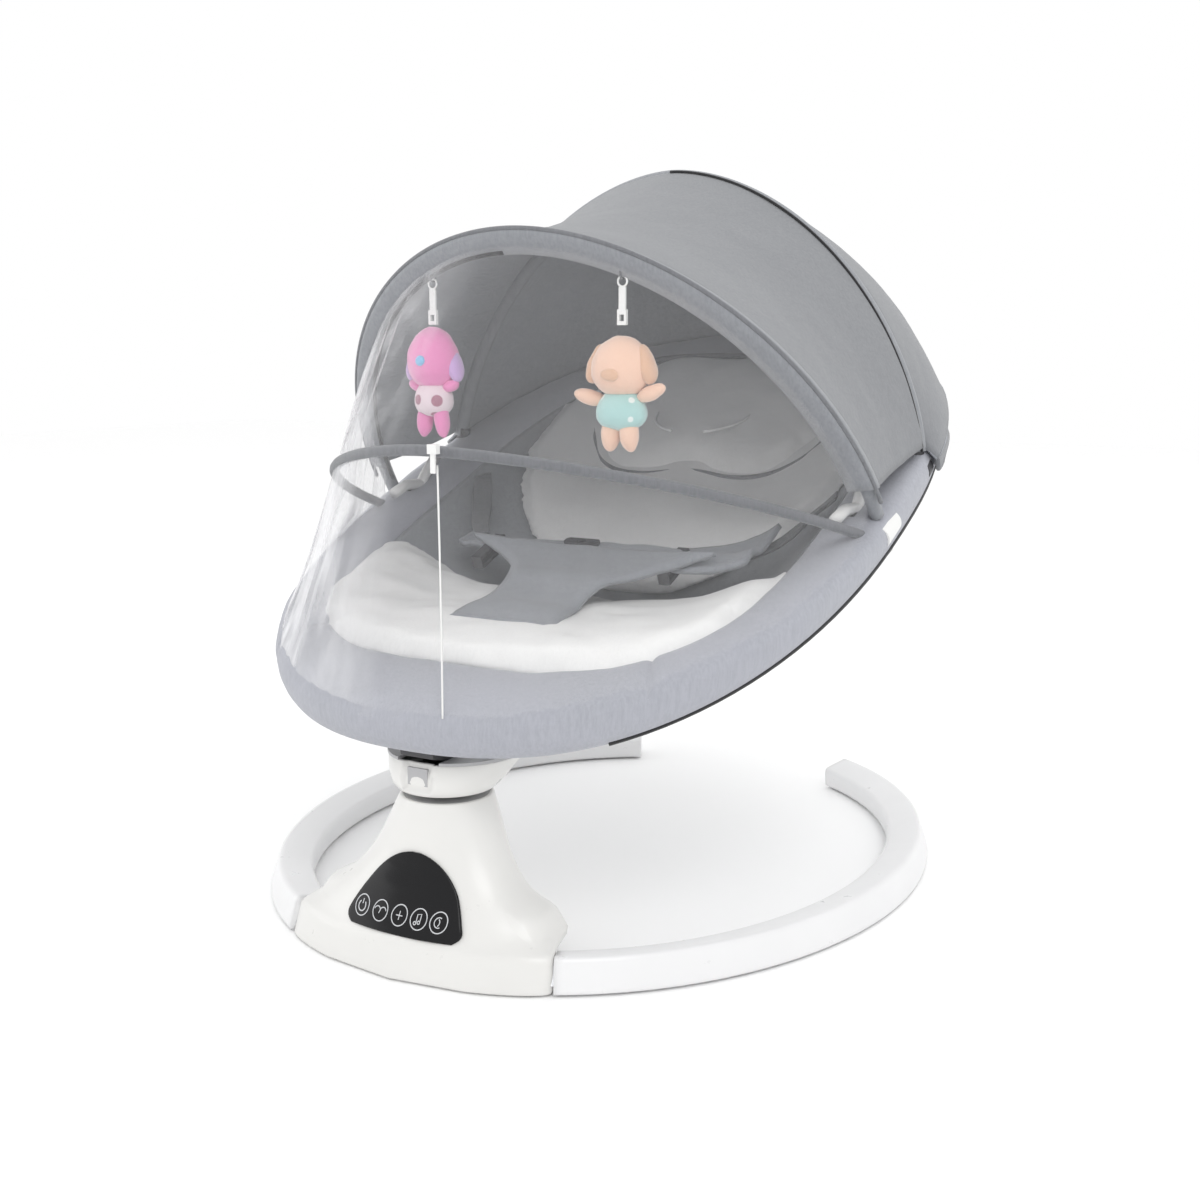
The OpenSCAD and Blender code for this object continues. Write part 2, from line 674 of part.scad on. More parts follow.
// Pins through the mounts, on which both bows turn, with round heads on the inside
module mount_pins() {
  color(white) both_sides() in_seat() translate([pivot_x - 8.3, pivot_v, pivot_w])
    rotate([0, -90, 0]) {
      cylinder(h = 22, d = 6, $fn = 36);
      translate([0, 0, 19.7]) cylinder(h = 3, d = 13, $fn = 48);
    }
}

// Knobs on the underside of the mounts, which lock them to the tube
module mount_knobs() {
  color(white) both_sides() in_seat() translate([pivot_x + 1.5, pivot_v, -tube_r - 3.6])
    rotate([180, 0, 0]) {
      cylinder(h = 8, d = 14, $fn = 48);
      cylinder(h = 10, d = 9, $fn = 48);
    }
}

// ---- Bows, canopy and net ----------------------------------------------------------

axis_y = seat_pt([0, pivot_v, pivot_w])[1];
axis_z = seat_pt([0, pivot_v, pivot_w])[2];

// A point of a bow: its angle, reach, lean from the line to the head, place and fullness
function bow_pt(t, h, ang, x, y, z, n) = let (r = h * pow(max(sin(t), 0), 2 / n))
  [x * spow(cos(t), 2 / n), y + r * cos(ang), z + r * sin(ang)];

function front_pt(t, up = 0) =
  bow_pt(t, front_h + up, front_ang, pivot_x + up, axis_y, axis_z - 2, 1.95);
function net_pt(t, up = 0) =
  bow_pt(t, net_h + up, net_ang, pivot_x - 2 + up, axis_y, axis_z - 14, 1.69);
function rear_pt(t, up = 0) =
  bow_pt(t, rear_h + up, 90, rear_x + up, rear_y, rear_z, 1.82);

// The feet of the pivoting bows bend inwards to clear the seat tube.
function tucked(p, t, by) = p - [by * sign(cos(t)) * pow(abs(cos(t)), 14), 0, 0];

module bow(points) bar(points, bow_r, [0, 1, 0.2], 10);

// Each pivoting bow ends in a flat eye on the mount's pin, with an arm to the bow's foot.
module bow_eye(x, foot, short) {
  d = [foot[1] - axis_y, foot[2] - axis_z];
  both_sides() translate([x, axis_y, axis_z]) rotate([atan2(d[1], d[0]), 0, 0]) difference() {
    union() {
      rotate([0, 90, 0]) cylinder(h = 3.6, r = 7.5, $fn = 48);
      translate([0, 0, -3.5]) cube([3.6, norm(d) - short, 7]);
    }
    translate([-1, 0, 0]) rotate([0, 90, 0]) cylinder(h = 6, d = 6.12, $fn = 36);
  }
}

front_points = [for (i = [0:34]) let (t = lerp(3.2, 176.8, i / 34)) tucked(front_pt(t), t, 20)];
module front_bow() {
  color(grey) bow(front_points);
}

// Ends that join the front bow to the mounts
module front_bow_eyes() {
  color(dark) bow_eye(pivot_x - 22.5, front_points[0], 0.3);
}

net_points = [for (i = [0:34]) let (t = lerp(4, 176, i / 34)) tucked(net_pt(t), t, 24)];
module net_bow() {
  color(grey) bow(net_points);
}

// Ends that join the net bow to the same pins
module net_bow_eyes() {
  color(dark) bow_eye(pivot_x - 27.5, net_points[0], 4.2);
}

module rear_bow() {
  color(grey) bow([for (i = [0:34]) rear_pt(lerp(rear_from, 180 - rear_from, i / 34))]);
}

// Clips round the seat tube, with sockets for the rear bow
module bow_clips() {
  foot = rear_pt(rear_from);
  color(dark) both_sides() difference() {
    union() {
      in_seat() translate([rear_x + 0.6, rear_v, 0]) rotate([90, 0, 3])
        cylinder(h = 12, r = tube_r + 3, center = true, $fn = 48);
      translate(foot) rotate([0, -10, 0]) translate([0, 0, -3]) cylinder(h = 16, r = 6.6, $fn = 36);
    }
    in_seat() translate([rear_x + 0.6, rear_v, 0]) rotate([90, 0, 3])
      cylinder(h = 30, r = tube_r + 0.8, center = true, $fn = 48);
    translate(foot) rotate([0, -10, 0]) translate([0, 0, -0.3])
      cylinder(h = 20, r = bow_r + 0.15, $fn = 36);
  }
}

// Places round the bows, from one side's hem to the other's
sides = [for (k = [0:20]) lerp(12, 168, k / 20)];
// The same places round the loop's head and round its foot
function round_head(t) = let (a = loop_at(rear_v + 14)) lerp(a, 180 - a, (t - 12) / 156);
function round_foot(t) = -lerp(16, 164, (t - 12) / 156);

// Fabric from the rear bow down to the head of the seat, at a height up off the bow
function rear_row(s, up) = [for (t = sides)
  lerp(rear_pt(t, up) + [0, 0.3, 0], seat_pt(loop_pt(round_head(t), 13.6 + up, 6)), s)
    + sin(180 * s) * sin(t) * [0, 12, 16]];
module rear_canopy() {
  color(grey) sheet([for (s = [0:0.2:1]) rear_row(s, 6.4)], [for (s = [0:0.2:1]) rear_row(s, 5.2)],
    back = true);
}

// The skirt wraps the border behind the rear bow.
skirt_rows = [[20, 5.8], [22, -6], [20.5, -18], [12, -30]];
function skirt_row(q, off) = [for (t = sides) seat_pt(loop_pt(round_head(t), q[0] - off, q[1]))];
module head_skirt() {
  color(grey) sheet([for (q = skirt_rows) skirt_row(q, 0)], [for (q = skirt_rows) skirt_row(q, 1.4)],
    back = true);
}

// Fabric from the front bow to the rear bow, which sags between them
function front_row(s, up) = [for (t = sides)
  lerp(front_pt(t, up + 3.8) - [0, 6, 0], rear_pt(t, up) - [0, 0.3, 0], s)
    - sin(180 * s) * sin(t) * [0, 0, 12]];
module front_canopy() {
  color(grey) sheet([for (s = [0:0.2:1]) front_row(s, 6.4)], [for (s = [0:0.2:1]) front_row(s, 5.2)],
    back = true);
}

// Net from the front bow over the net bow, and down to the outside of the border
function net_row(s, up) = [for (t = sides)
  s < 1 ? lerp(front_pt(t, up + 2) - [0, 7, 2], net_pt(t, up), s)
    : lerp(net_pt(t, up), seat_pt(loop_pt(round_foot(t), 20 + up, 0)), s - 1)];
net_steps = [0, 0.35, 0.7, 1, 1.4, 1.75, 2];
module mosquito_net() {
  color([0.96, 0.96, 0.97, 0.4]) sheet([for (s = net_steps) net_row(s, 6.3)],
    [for (s = net_steps) net_row(s, 5)]);
}

module zip_pull() {
  color(white) translate(net_pt(zip_t, 7.1)) {
    translate([-4, -5, -3]) cube([8, 5, 7]);
    translate([-2, -4, -17]) cube([4, 1.6, 15]);
  }
}

// ---- Toys --------------------------------------------------------------------------

// Puts children at the front bow's middle line, t round it.
module on_front_bow(t) {
  translate(front_pt(t)) children();
}

module torus(r, w) {
  rotate_extrude($fn = 48) translate([r, 0]) circle(r = w, $fn = 16);
}

// Bands round the front bow, each with an eye below it
module toy_loops() {
  color(dark) for (t = [pink_t, peach_t]) on_front_bow(t) {
    rotate([0, 90, 0]) difference() {
      cylinder(h = 6, r = bow_r + 2.9, center = true, $fn = 48);
      cylinder(h = 10, r = bow_r + 2.1, center = true, $fn = 48);
    }
    translate([0, 0, -bow_r - 7]) rotate([0, 90, 0]) torus(4, 0.85);
  }
}

// Strap: a link through the eye, a flat band and a clip
module toy_strap(t) {
  color(white) on_front_bow(t) {
    translate([0, 0, -16.8]) rotate([90, 0, 0]) torus(4, 0.85);
    translate([-3, -0.8, -42]) cube([6, 1.6, 21]);
    difference() {
      translate([-4, -1.5, -50]) cube([8, 3, 12]);
      translate([-2, -2, -47]) cube([4, 4, 5]);
    }
  }
}
module pink_strap() toy_strap(pink_t);
module peach_strap() toy_strap(peach_t);

// A tapering limb with a round end, which starts inside the body
module limb(from, to, r) {
  d = to - from;
  translate(from) rotate([0, acos(d[2] / norm(d)), atan2(d[1], d[0])])
    cylinder(h = norm(d), r1 = r * 0.72, r2 = r * 0.9, $fn = 32);
  translate(to) sphere(r = r, $fn = 32);
}

// A plush toy hanging from its head: head, ears, body, arms and legs
module toy(head, body, ear, reach_out) {
  translate([0, 0, -50 - head]) sphere(r = head, $fn = 48);
  for (x = [-1, 1]) {
    translate([x * head * 0.85, 0, -50 - head * 0.7]) sphere(r = ear, $fn = 36);
    limb([x * body * 0.6, 0, -48 - 2 * head - body * 0.4],
      [x * reach_out, -2, -44 - 2 * head], 5);
    limb([x * 8, 0, -50 - 2 * head - body * 1.2],
      [x * 8.5, -2, -54 - 2 * head - body * 2], 6.5);
  }
  translate([0, 0, -46 - 2 * head - body * 0.75]) sphere(r = body, $fn = 48);
}
module pink_toy() color([0.93, 0.55, 0.75]) on_front_bow(pink_t) toy(22, 17, 9, 20);
module peach_toy() color([0.95, 0.78, 0.7]) on_front_bow(peach_t) toy(24, 20, 10, 34);

front_housing();
rear_housing();
bottom_cover();
panel_lens();
control_board();
speaker();
dc_inlet();
neck_collar();
bearing_block();
bearings();
drive_coil();
ring_tube_left();
ring_tube_right();
ring_joiners();
end_caps();
rubber_feet();
base_screws();
hub_core();
hub_bowl();
hub_plate();
swing_shaft();
magnet_arm();
drive_magnet();
shaft_circlip();
hub_screws();
recline_pin();
recline_button();
button_spring();
seat_bracket();
bracket_screws();
front_tube();
rear_tube();
canopy_mounts();
mount_pins();
mount_knobs();
seat_border();
seat_bucket();
lower_pad();
back_pad();
head_pillow();
crotch_strap();
waist_straps();
buckle();
strap_sliders();
rear_bow();
bow_clips();
rear_canopy();
head_skirt();
front_bow();
front_bow_eyes();
front_canopy();
toy_loops();
net_bow();
net_bow_eyes();
zip_pull();
mosquito_net();
pink_toy();
pink_strap();
peach_toy();
peach_strap();
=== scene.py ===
import math

import bpy
import numpy as np
from mathutils import Euler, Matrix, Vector, noise


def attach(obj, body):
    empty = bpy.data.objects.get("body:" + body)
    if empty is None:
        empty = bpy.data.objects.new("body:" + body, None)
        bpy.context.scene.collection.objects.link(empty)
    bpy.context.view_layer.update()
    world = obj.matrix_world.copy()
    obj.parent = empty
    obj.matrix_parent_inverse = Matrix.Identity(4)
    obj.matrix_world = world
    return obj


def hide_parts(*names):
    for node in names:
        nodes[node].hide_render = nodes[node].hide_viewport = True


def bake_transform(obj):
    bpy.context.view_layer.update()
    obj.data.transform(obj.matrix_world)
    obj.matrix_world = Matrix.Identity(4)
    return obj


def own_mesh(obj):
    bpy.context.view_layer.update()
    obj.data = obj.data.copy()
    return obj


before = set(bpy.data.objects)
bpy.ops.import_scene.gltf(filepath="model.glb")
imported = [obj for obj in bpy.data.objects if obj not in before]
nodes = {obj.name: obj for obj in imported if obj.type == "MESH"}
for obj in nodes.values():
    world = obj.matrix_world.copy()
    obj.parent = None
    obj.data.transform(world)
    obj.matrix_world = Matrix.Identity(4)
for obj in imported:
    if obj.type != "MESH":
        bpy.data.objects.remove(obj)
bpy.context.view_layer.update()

# ---- Sizes, in millimetres, the same as in the CAD source --------

# Middle of the ring along Y
MID_Y = -34.0
# The ring's half width and half length, its tube's height and width, and its half gap in degrees
RING_A, RING_B, RING_H, RING_W, RING_OPEN = 290.0, 343.0, 28.4, 38.0, 27.4
# Half the angle of the ring that the pylon's foot takes up
FOOT_SPAN = 25.3
# Middle of the seat frame and its slope in degrees
SEAT_Y, SEAT_Z, TILT = 6.0, 324.5, 22.0
# The seat frame's half width, half length and the power of its curve
LOOP_W, LOOP_L, LOOP_N = 252.0, 366.7, 2.4
# The pivot of the bows: across, along and above the seat
PIVOT_X, PIVOT_V, PIVOT_W = 250.0, -27.0, 4.0
# Where the rear bow stands along the seat
REAR_V = 88.0


def sin(a):
    return math.sin(math.radians(a))


def cos(a):
    return math.cos(math.radians(a))


def spow(c, e):
    return math.copysign(abs(c) ** e, c)


def lerp(a, b, s):
    return a + (b - a) * s


def smooth(s):
    s = min(max(s, 0.0), 1.0)
    return s * s * (3 - 2 * s)


def spread(a, b, n):
    """Numbers from a to b in equal steps."""
    return [lerp(a, b, k / (n - 1)) for k in range(n)]


def spread_eased(n):
    """Steps from 0 to nearly 1, closer together at both ends."""
    return [0.998 * (0.5 - 0.5 * cos(180 * k / (n - 1))) for k in range(n)]


def metres(p):
    return tuple(float(c) * 0.001 for c in p)


def table(x, pairs):
    """A smooth value read from a short list of (place, value) pairs."""
    if x <= pairs[0][0]:
        return pairs[0][1]
    for (x0, y0), (x1, y1) in zip(pairs, pairs[1:]):
        if x <= x1:
            return lerp(y0, y1, smooth((x - x0) / (x1 - x0)))
    return pairs[-1][1]


def line(x, pairs):
    """A value read along straight lines between (place, value) pairs."""
    return float(np.interp(x, [p[0] for p in pairs], [p[1] for p in pairs]))


def seat_pt(x, v, w):
    """A point x across, v along and w above the sloping seat."""
    return (x, SEAT_Y + v * cos(TILT) - w * sin(TILT), SEAT_Z + v * sin(TILT) + w * cos(TILT))


AXIS = seat_pt(0, PIVOT_V, PIVOT_W)
REAR_Y = SEAT_Y + REAR_V * cos(TILT)
REAR_Z = SEAT_Z + REAR_V * sin(TILT) - 17


def loop(t, a=LOOP_W, b=LOOP_L, n=LOOP_N):
    """A rounded loop in the plane of the seat. 90 degrees is the head."""
    return a * spow(cos(t), 2 / n), b * spow(sin(t), 2 / n)


def bow_pt(t, reach, angle, x, y, z, n):
    """A bow from side to side. t is 0 at its right foot, 90 at its top and 180 at its left foot."""
    r = reach * max(sin(t), 0) ** (2 / n)
    return np.array((x * spow(cos(t), 2 / n), y + r * cos(angle), z + r * sin(angle)))


def front_pt(t, up=0.0):
    """A point on the front bow, or up millimetres outside it."""
    return bow_pt(t, 290 + up, 126.5, PIVOT_X + up, AXIS[1], AXIS[2] - 2, 1.95)


def net_pt(t, up=0.0):
    return bow_pt(t, 314 + up, 164, PIVOT_X - 2 + up, AXIS[1], AXIS[2] - 14, 1.69)


def rear_pt(t, up=0.0):
    return bow_pt(t, 280 + up, 90, 248 + up, REAR_Y, REAR_Z, 1.82)


# ---- Materials --------


class Nodes:
    """Short names for building a material's nodes."""

    def __init__(self, name):
        self.material = bpy.data.materials.new(name)
        self.material.use_nodes = True
        self.tree = self.material.node_tree
        self.shader = self.tree.nodes["Principled BSDF"]
        self.place = self.add("ShaderNodeTexCoord").outputs["Object"]

    def add(self, kind, **values):
        node = self.tree.nodes.new(kind)
        for key, value in values.items():
            if hasattr(node, key):
                setattr(node, key, value)
            else:
                node.inputs[key].default_value = value
        return node

    def link(self, a, b):
        self.tree.links.new(a, b)

    def set(self, key, value):
        self.shader.inputs[key].default_value = value

    def feed(self, key, source):
        self.link(source, self.shader.inputs[key])

    def stretch(self, scale, turn=(0, 0, 0)):
        m = self.add("ShaderNodeMapping")
        m.inputs["Scale"].default_value = scale
        m.inputs["Rotation"].default_value = [math.radians(a) for a in turn]
        self.link(self.place, m.inputs["Vector"])
        return m.outputs["Vector"]

    def noise(self, scale, detail=3.0, rough=0.55, stretch=(1, 1, 1), distortion=0.0, turn=(0, 0, 0)):
        n = self.add("ShaderNodeTexNoise", Scale=scale, Detail=detail, Roughness=rough, Distortion=distortion)
        self.link(self.stretch(stretch, turn), n.inputs["Vector"])
        return n.outputs["Fac"]

    def wave(self, scale, direction="X", distortion=0.6):
        n = self.add("ShaderNodeTexWave", Scale=scale, Distortion=distortion, Detail=1.0)
        n.bands_direction = direction
        self.link(self.place, n.inputs["Vector"])
        return n.outputs["Fac"]

    def ramp(self, source, low, high, a, b):
        r = self.add("ShaderNodeMapRange")
        for key, value in (("From Min", low), ("From Max", high), ("To Min", a), ("To Max", b)):
            r.inputs[key].default_value = value
        self.link(source, r.inputs["Value"])
        return r.outputs["Result"]

    def mix(self, factor, a, b):
        m = self.add("ShaderNodeMix", data_type="RGBA")
        for value, key in ((factor, 0), (a, 6), (b, 7)):
            if isinstance(value, (int, float)):
                m.inputs[key].default_value = value
            elif isinstance(value, (tuple, list)):
                m.inputs[key].default_value = (*value[:3], 1)
            else:
                self.link(value, m.inputs[key])
        return m.outputs[2]

    def math(self, op, a, b):
        m = self.add("ShaderNodeMath", operation=op)
        for i, value in enumerate((a, b)):
            if isinstance(value, (int, float)):
                m.inputs[i].default_value = value
            else:
                self.link(value, m.inputs[i])
        return m.outputs[0]

    def bump(self, source, strength, distance, below=None):
        b = self.add("ShaderNodeBump", Strength=strength, Distance=distance)
        self.link(source, b.inputs["Height"])
        if below is not None:
            self.link(below, b.inputs["Normal"])
        return b.outputs["Normal"]


def fabric(name, light, deep, weave=900.0, crease=0.35, sheen=0.25, tint=None):
    """Heathered woven cloth: mottled yarns, a fine weave, and soft creases."""
    k = Nodes(name)
    yarn = k.ramp(k.noise(420, 4, 0.7, stretch=(1, 1, 0.12), turn=(0, 0, 20)), 0.38, 0.66, 0, 1)
    patch = k.ramp(k.noise(9, 4, 0.6, distortion=0.4), 0.35, 0.68, 0, 1)
    color = k.mix(k.math("MULTIPLY", yarn, 0.55), light, deep)
    color = k.mix(k.math("MULTIPLY", patch, 0.3), color, tint or deep)
    k.feed("Base Color", color)
    fine = k.math("MULTIPLY", k.wave(weave, "X"), k.wave(weave, "Z"))
    n = k.bump(fine, 0.25, 0.0005)
    n = k.bump(k.noise(55, 4, 0.6, stretch=(1, 0.5, 1.6), distortion=0.8), crease, 0.004, n)
    k.feed("Normal", n)
    k.feed("Roughness", k.ramp(yarn, 0, 1, 0.78, 0.95))
    k.set("Sheen Weight", sheen)
    k.set("Sheen Roughness", 0.6)
    k.set("Specular IOR Level", 0.25)
    return k.material


def plastic(name, color, rough=0.32, coat=0.25, grain=0.06, gloss=0.5):
    """Moulded plastic: a faint grain, slightly uneven gloss and colour."""
    k = Nodes(name)
    patch = k.ramp(k.noise(14, 3, 0.5), 0.3, 0.7, 0, 1)
    k.feed("Base Color", k.mix(patch, color, [c * 0.97 for c in color]))
    k.feed("Roughness", k.ramp(k.noise(60, 4, 0.6), 0.3, 0.7, rough - 0.05, rough + 0.07))
    k.feed("Normal", k.bump(k.noise(1400, 2, 0.5), grain, 0.0004))
    k.set("Coat Weight", coat)
    k.set("Coat Roughness", 0.18)
    k.set("Specular IOR Level", gloss)
    return k.material


def metal(name, color):
    """Brushed metal with fine lines."""
    k = Nodes(name)
    grain = k.noise(700, 3, 0.6, stretch=(1, 1, 0.05))
    line_color = [c * 0.7 for c in color]
    k.feed("Base Color", k.mix(k.math("MULTIPLY", grain, 0.4), color, line_color))
    k.feed("Roughness", k.ramp(grain, 0.3, 0.7, 0.22, 0.42))
    k.feed("Normal", k.bump(grain, 0.1, 0.0003))
    k.set("Metallic", 1.0)
    return k.material


def plush(name, color, deep, pattern=None):
    """Short-pile plush; a pattern gives (scale, size, colour) of printed spots."""
    k = Nodes(name)
    pile = k.noise(900, 4, 0.7)
    shade = k.ramp(k.noise(60, 3, 0.6), 0.3, 0.7, 0, 1)
    tone = k.mix(k.math("MULTIPLY", pile, 0.5), color, deep)
    tone = k.mix(k.math("MULTIPLY", shade, 0.35), tone, deep)
    if pattern:
        scale, size, spot = pattern
        v = k.add("ShaderNodeTexVoronoi", Scale=scale, Randomness=0.35)
        k.link(k.place, v.inputs["Vector"])
        tone = k.mix(k.ramp(v.outputs["Distance"], size, size + 0.05, 1, 0), tone, spot)
    k.feed("Base Color", tone)
    n = k.bump(pile, 0.5, 0.0012)
    k.feed("Normal", k.bump(k.noise(120, 3, 0.6), 0.35, 0.002, n))
    k.set("Roughness", 0.95)
    k.set("Sheen Weight", 0.7)
    k.set("Sheen Roughness", 0.45)
    return k.material


def net_material(name, cover, veil):
    """Sheer mesh: nearly clear, with pale threads and soft folds that show more towards -X.

    cover is the threads' opacity, and veil is the folds'.
    """
    k = Nodes(name)
    k.set("Base Color", (0.95, 0.95, 0.97, 1))
    k.set("Roughness", 0.8)
    k.set("Sheen Weight", 0.3)
    fold = k.ramp(k.noise(30, 3, 0.5, stretch=(1, 1, 0.06), distortion=0.3), 0.40, 0.68, 0, 1)
    thread = k.math("MULTIPLY", k.wave(520, "X", 0.2), k.wave(520, "Z", 0.2))
    split = k.add("ShaderNodeSeparateXYZ")
    k.link(k.place, split.inputs[0])
    side = k.ramp(split.outputs[0], -0.02, -0.20, 0, 1)
    alpha = k.math("ADD", k.math("MULTIPLY", thread, cover), cover)
    veiled = k.math("MULTIPLY", side, k.math("ADD", k.math("MULTIPLY", fold, veil), veil * 0.35))
    k.feed("Alpha", k.math("ADD", alpha, veiled))
    k.feed("Normal", k.bump(fold, 0.3, 0.004))
    return k.material


mat = {
    "canopy": fabric("canopy_linen", (0.37, 0.385, 0.41), (0.25, 0.265, 0.29), crease=0.5,
                     tint=(0.32, 0.34, 0.39)),
    # The canopy cloth's inner side is a darker copy of the same cloth: painted shade for the shadow under the
    # canopy.
    "canopy_shaded": fabric("canopy_underside_painted_shade", (0.22, 0.227, 0.24), (0.18, 0.186, 0.20), crease=0.15),
    "border": fabric("border_linen", (0.385, 0.395, 0.435), (0.30, 0.31, 0.345), crease=0.22,
                     tint=(0.40, 0.405, 0.465)),
    "wall": fabric("bucket_linen", (0.33, 0.345, 0.365), (0.23, 0.24, 0.26), crease=0.3),
    "harness": fabric("harness_webbing", (0.31, 0.325, 0.35), (0.23, 0.24, 0.265), crease=0.18, weave=1400),
    "strap": fabric("strap_webbing", (0.17, 0.175, 0.185), (0.12, 0.125, 0.13), crease=0.1, weave=1600),
    "white": fabric("pad_cotton", (0.90, 0.90, 0.89), (0.82, 0.82, 0.81), 1200, 0.18, 0.15),
    "piping": fabric("dark_piping", (0.19, 0.195, 0.21), (0.13, 0.135, 0.145), crease=0.1),
    "black": fabric("black_piping", (0.02, 0.02, 0.022), (0.01, 0.01, 0.012), crease=0.1),
    "sleeve": fabric("bow_sleeve", (0.29, 0.30, 0.32), (0.21, 0.22, 0.24), crease=0.1, weave=1500),
    "housing": plastic("housing_white", (0.74, 0.735, 0.715), grain=0.02),
    "ring": plastic("ring_white", (0.79, 0.79, 0.795), grain=0.02),
    "knob": plastic("knob_white", (0.80, 0.80, 0.79)),
    "lens": plastic("lens_black", (0.006, 0.006, 0.007), rough=0.2, coat=0.12, grain=0.0, gloss=0.2),
    "icon": plastic("icon_print", (0.62, 0.63, 0.65), rough=0.5, coat=0.0),
    "dark": plastic("dark_plastic", (0.06, 0.06, 0.065), rough=0.5, coat=0.0, grain=0.12),
    "grey_plastic": plastic("grey_plastic", (0.42, 0.42, 0.43), rough=0.42, coat=0.1, grain=0.1),
    "steel": metal("steel", (0.62, 0.63, 0.65)),
    "tube": plastic("tube_white", (0.88, 0.88, 0.88), rough=0.2, coat=0.5),
    "rubber": plastic("rubber", (0.03, 0.03, 0.03), rough=0.8, coat=0.0, grain=0.3),
    "board": plastic("board_green", (0.02, 0.10, 0.05), rough=0.4),
    "copper": metal("copper", (0.72, 0.36, 0.2)),
    "net": net_material("net_upper_mesh", 0.04, 0.34),
    "net_low": net_material("net_lower_mesh", 0.03, 0.6),
    "pink": plush("plush_pink", (0.86, 0.30, 0.56), (0.74, 0.20, 0.46)),
    "lavender": plush("plush_lavender", (0.62, 0.42, 0.72), (0.52, 0.32, 0.64)),
    "pink_print": plush("print_pink", (0.84, 0.72, 0.76), (0.74, 0.60, 0.66), (62, 0.28, (0.40, 0.17, 0.24))),
    "blue": plush("plush_blue", (0.22, 0.52, 0.80), (0.16, 0.42, 0.72)),
    "peach": plush("plush_peach", (0.88, 0.60, 0.46), (0.78, 0.50, 0.37)),
    "peach_ear": plush("plush_ear", (0.74, 0.47, 0.32), (0.64, 0.38, 0.25)),
    "aqua_print": plush("print_aqua", (0.42, 0.66, 0.64), (0.34, 0.58, 0.56), (78, 0.2, (0.74, 0.82, 0.80))),
}


# ---- Mesh makers --------


def mesh_object(name, points, faces, materials, indices=None):
    """A smooth mesh. Its points are in millimetres in the part's frame."""
    me = bpy.data.meshes.new(name)
    me.from_pydata([metres(p) for p in points], [], faces)
    for m in materials:
        me.materials.append(mat[m])
    if indices is not None:
        me.polygons.foreach_set("material_index", indices)
    me.polygons.foreach_set("use_smooth", [True] * len(me.polygons))
    me.update()
    me.validate()
    ob = bpy.data.objects.new(name, me)
    bpy.context.scene.collection.objects.link(ob)
    return ob


def done(ob, body, replaced=()):
    """Gives a finished piece its body and hides the CAD nodes that it stands for."""
    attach(ob, body)
    if replaced:
        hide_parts(*replaced)
    return ob


def loft(name, rings, materials, closed=False, back=False):
    """A closed skin through rings of points. Its ends are capped, or joined if closed. back turns it
    inside out, for rings that run the other way."""
    rings = np.asarray(rings, float)
    m, n = rings.shape[:2]
    faces = []
    for i in range(m if closed else m - 1):
        k = (i + 1) % m
        for j in range(n):
            q = (j + 1) % n
            f = (i * n + j, i * n + q, k * n + q, k * n + j)
            faces.append(f[::-1] if back else f)
    if not closed:
        a, b = tuple(range(n - 1, -1, -1)), tuple((m - 1) * n + j for j in range(n))
        faces += [a[::-1], b[::-1]] if back else [a, b]
    return mesh_object(name, rings.reshape(-1, 3), faces, materials)


def frames(points, closed=False):
    """Directions across a path, carried along it without twist."""
    p = np.asarray(points, float)
    t = np.roll(p, -1, 0) - np.roll(p, 1, 0)
    if not closed:
        t[0], t[-1] = p[1] - p[0], p[-1] - p[-2]
    t /= np.linalg.norm(t, axis=1)[:, None]
    u = np.cross(t[0], (0.3, 0.5, 0.8))
    out = []
    for d in t:
        u = u - d * (u @ d)
        u /= np.linalg.norm(u)
        out.append((u.copy(), np.cross(d, u)))
    return out


def tube(name, points, radius, material, sides=12, closed=False):
    """A round tube along a path."""
    p = np.asarray(points, float)
    r = np.broadcast_to(np.asarray(radius, float), (len(p),))
    ring = [2 * math.pi * k / sides for k in range(sides)]
    rings = [[c + q * (math.cos(a) * u + math.sin(a) * v) for a in ring]
             for c, q, (u, v) in zip(p, r, frames(p, closed))]
    return loft(name, rings, [material], closed=closed)


def grid_normals(p):
    """The direction across a grid of points, at each point."""
    du = np.gradient(p, axis=0)
    dv = np.gradient(p, axis=1)
    n = np.cross(du, dv)
    return n / np.maximum(np.linalg.norm(n, axis=2), 1e-9)[:, :, None]


def shell(name, grid, thick, outer, inner=None, flip=False):
    """A sheet of cloth with a thickness: outer and inner faces and its edges."""
    p = np.asarray(grid, float)
    m, n = p.shape[:2]
    size = m * n
    under = p - grid_normals(p) * (-thick if flip else thick)
    faces, index = [], []
    for i in range(m - 1):
        for j in range(n - 1):
            a, b, c, d = i * n + j, i * n + j + 1, (i + 1) * n + j + 1, (i + 1) * n + j
            faces += [(a, d, c, b), (a + size, b + size, c + size, d + size)]
            index += [0, 1]
    rim = list(range(n)) + [i * n + n - 1 for i in range(1, m)]
    rim += [(m - 1) * n + j for j in range(n - 2, -1, -1)] + [i * n for i in range(m - 2, 0, -1)]
    faces += [(a, b, b + size, a + size) for a, b in zip(rim, rim[1:] + rim[:1])]
    index += [0] * len(rim)
    if flip:
        faces = [face[::-1] for face in faces]
    return mesh_object(name, np.concatenate([p.reshape(-1, 3), under.reshape(-1, 3)]), faces,
                       [outer, inner or outer], index)


def ripple(p, scale, seed=0.0):
    """Smooth noise at a point, the same each run."""
    return noise.fractal(Vector((p[0] * scale + seed, p[1] * scale, p[2] * scale)), 1.0, 2.0, 3)


def paint(node, material):
    """Gives a CAD node that stays visible its material."""
    ob = nodes[node]
    ob.data.materials.clear()
    ob.data.materials.append(mat[material])


# ---- Ring base --------


def ring_pt(t, inset, z):
    """A point of the ring: t is 0 at the pylon and 180 at the open end."""
    return np.array(((RING_A - inset) * sin(t), MID_Y - (RING_B - inset) * cos(t), z))


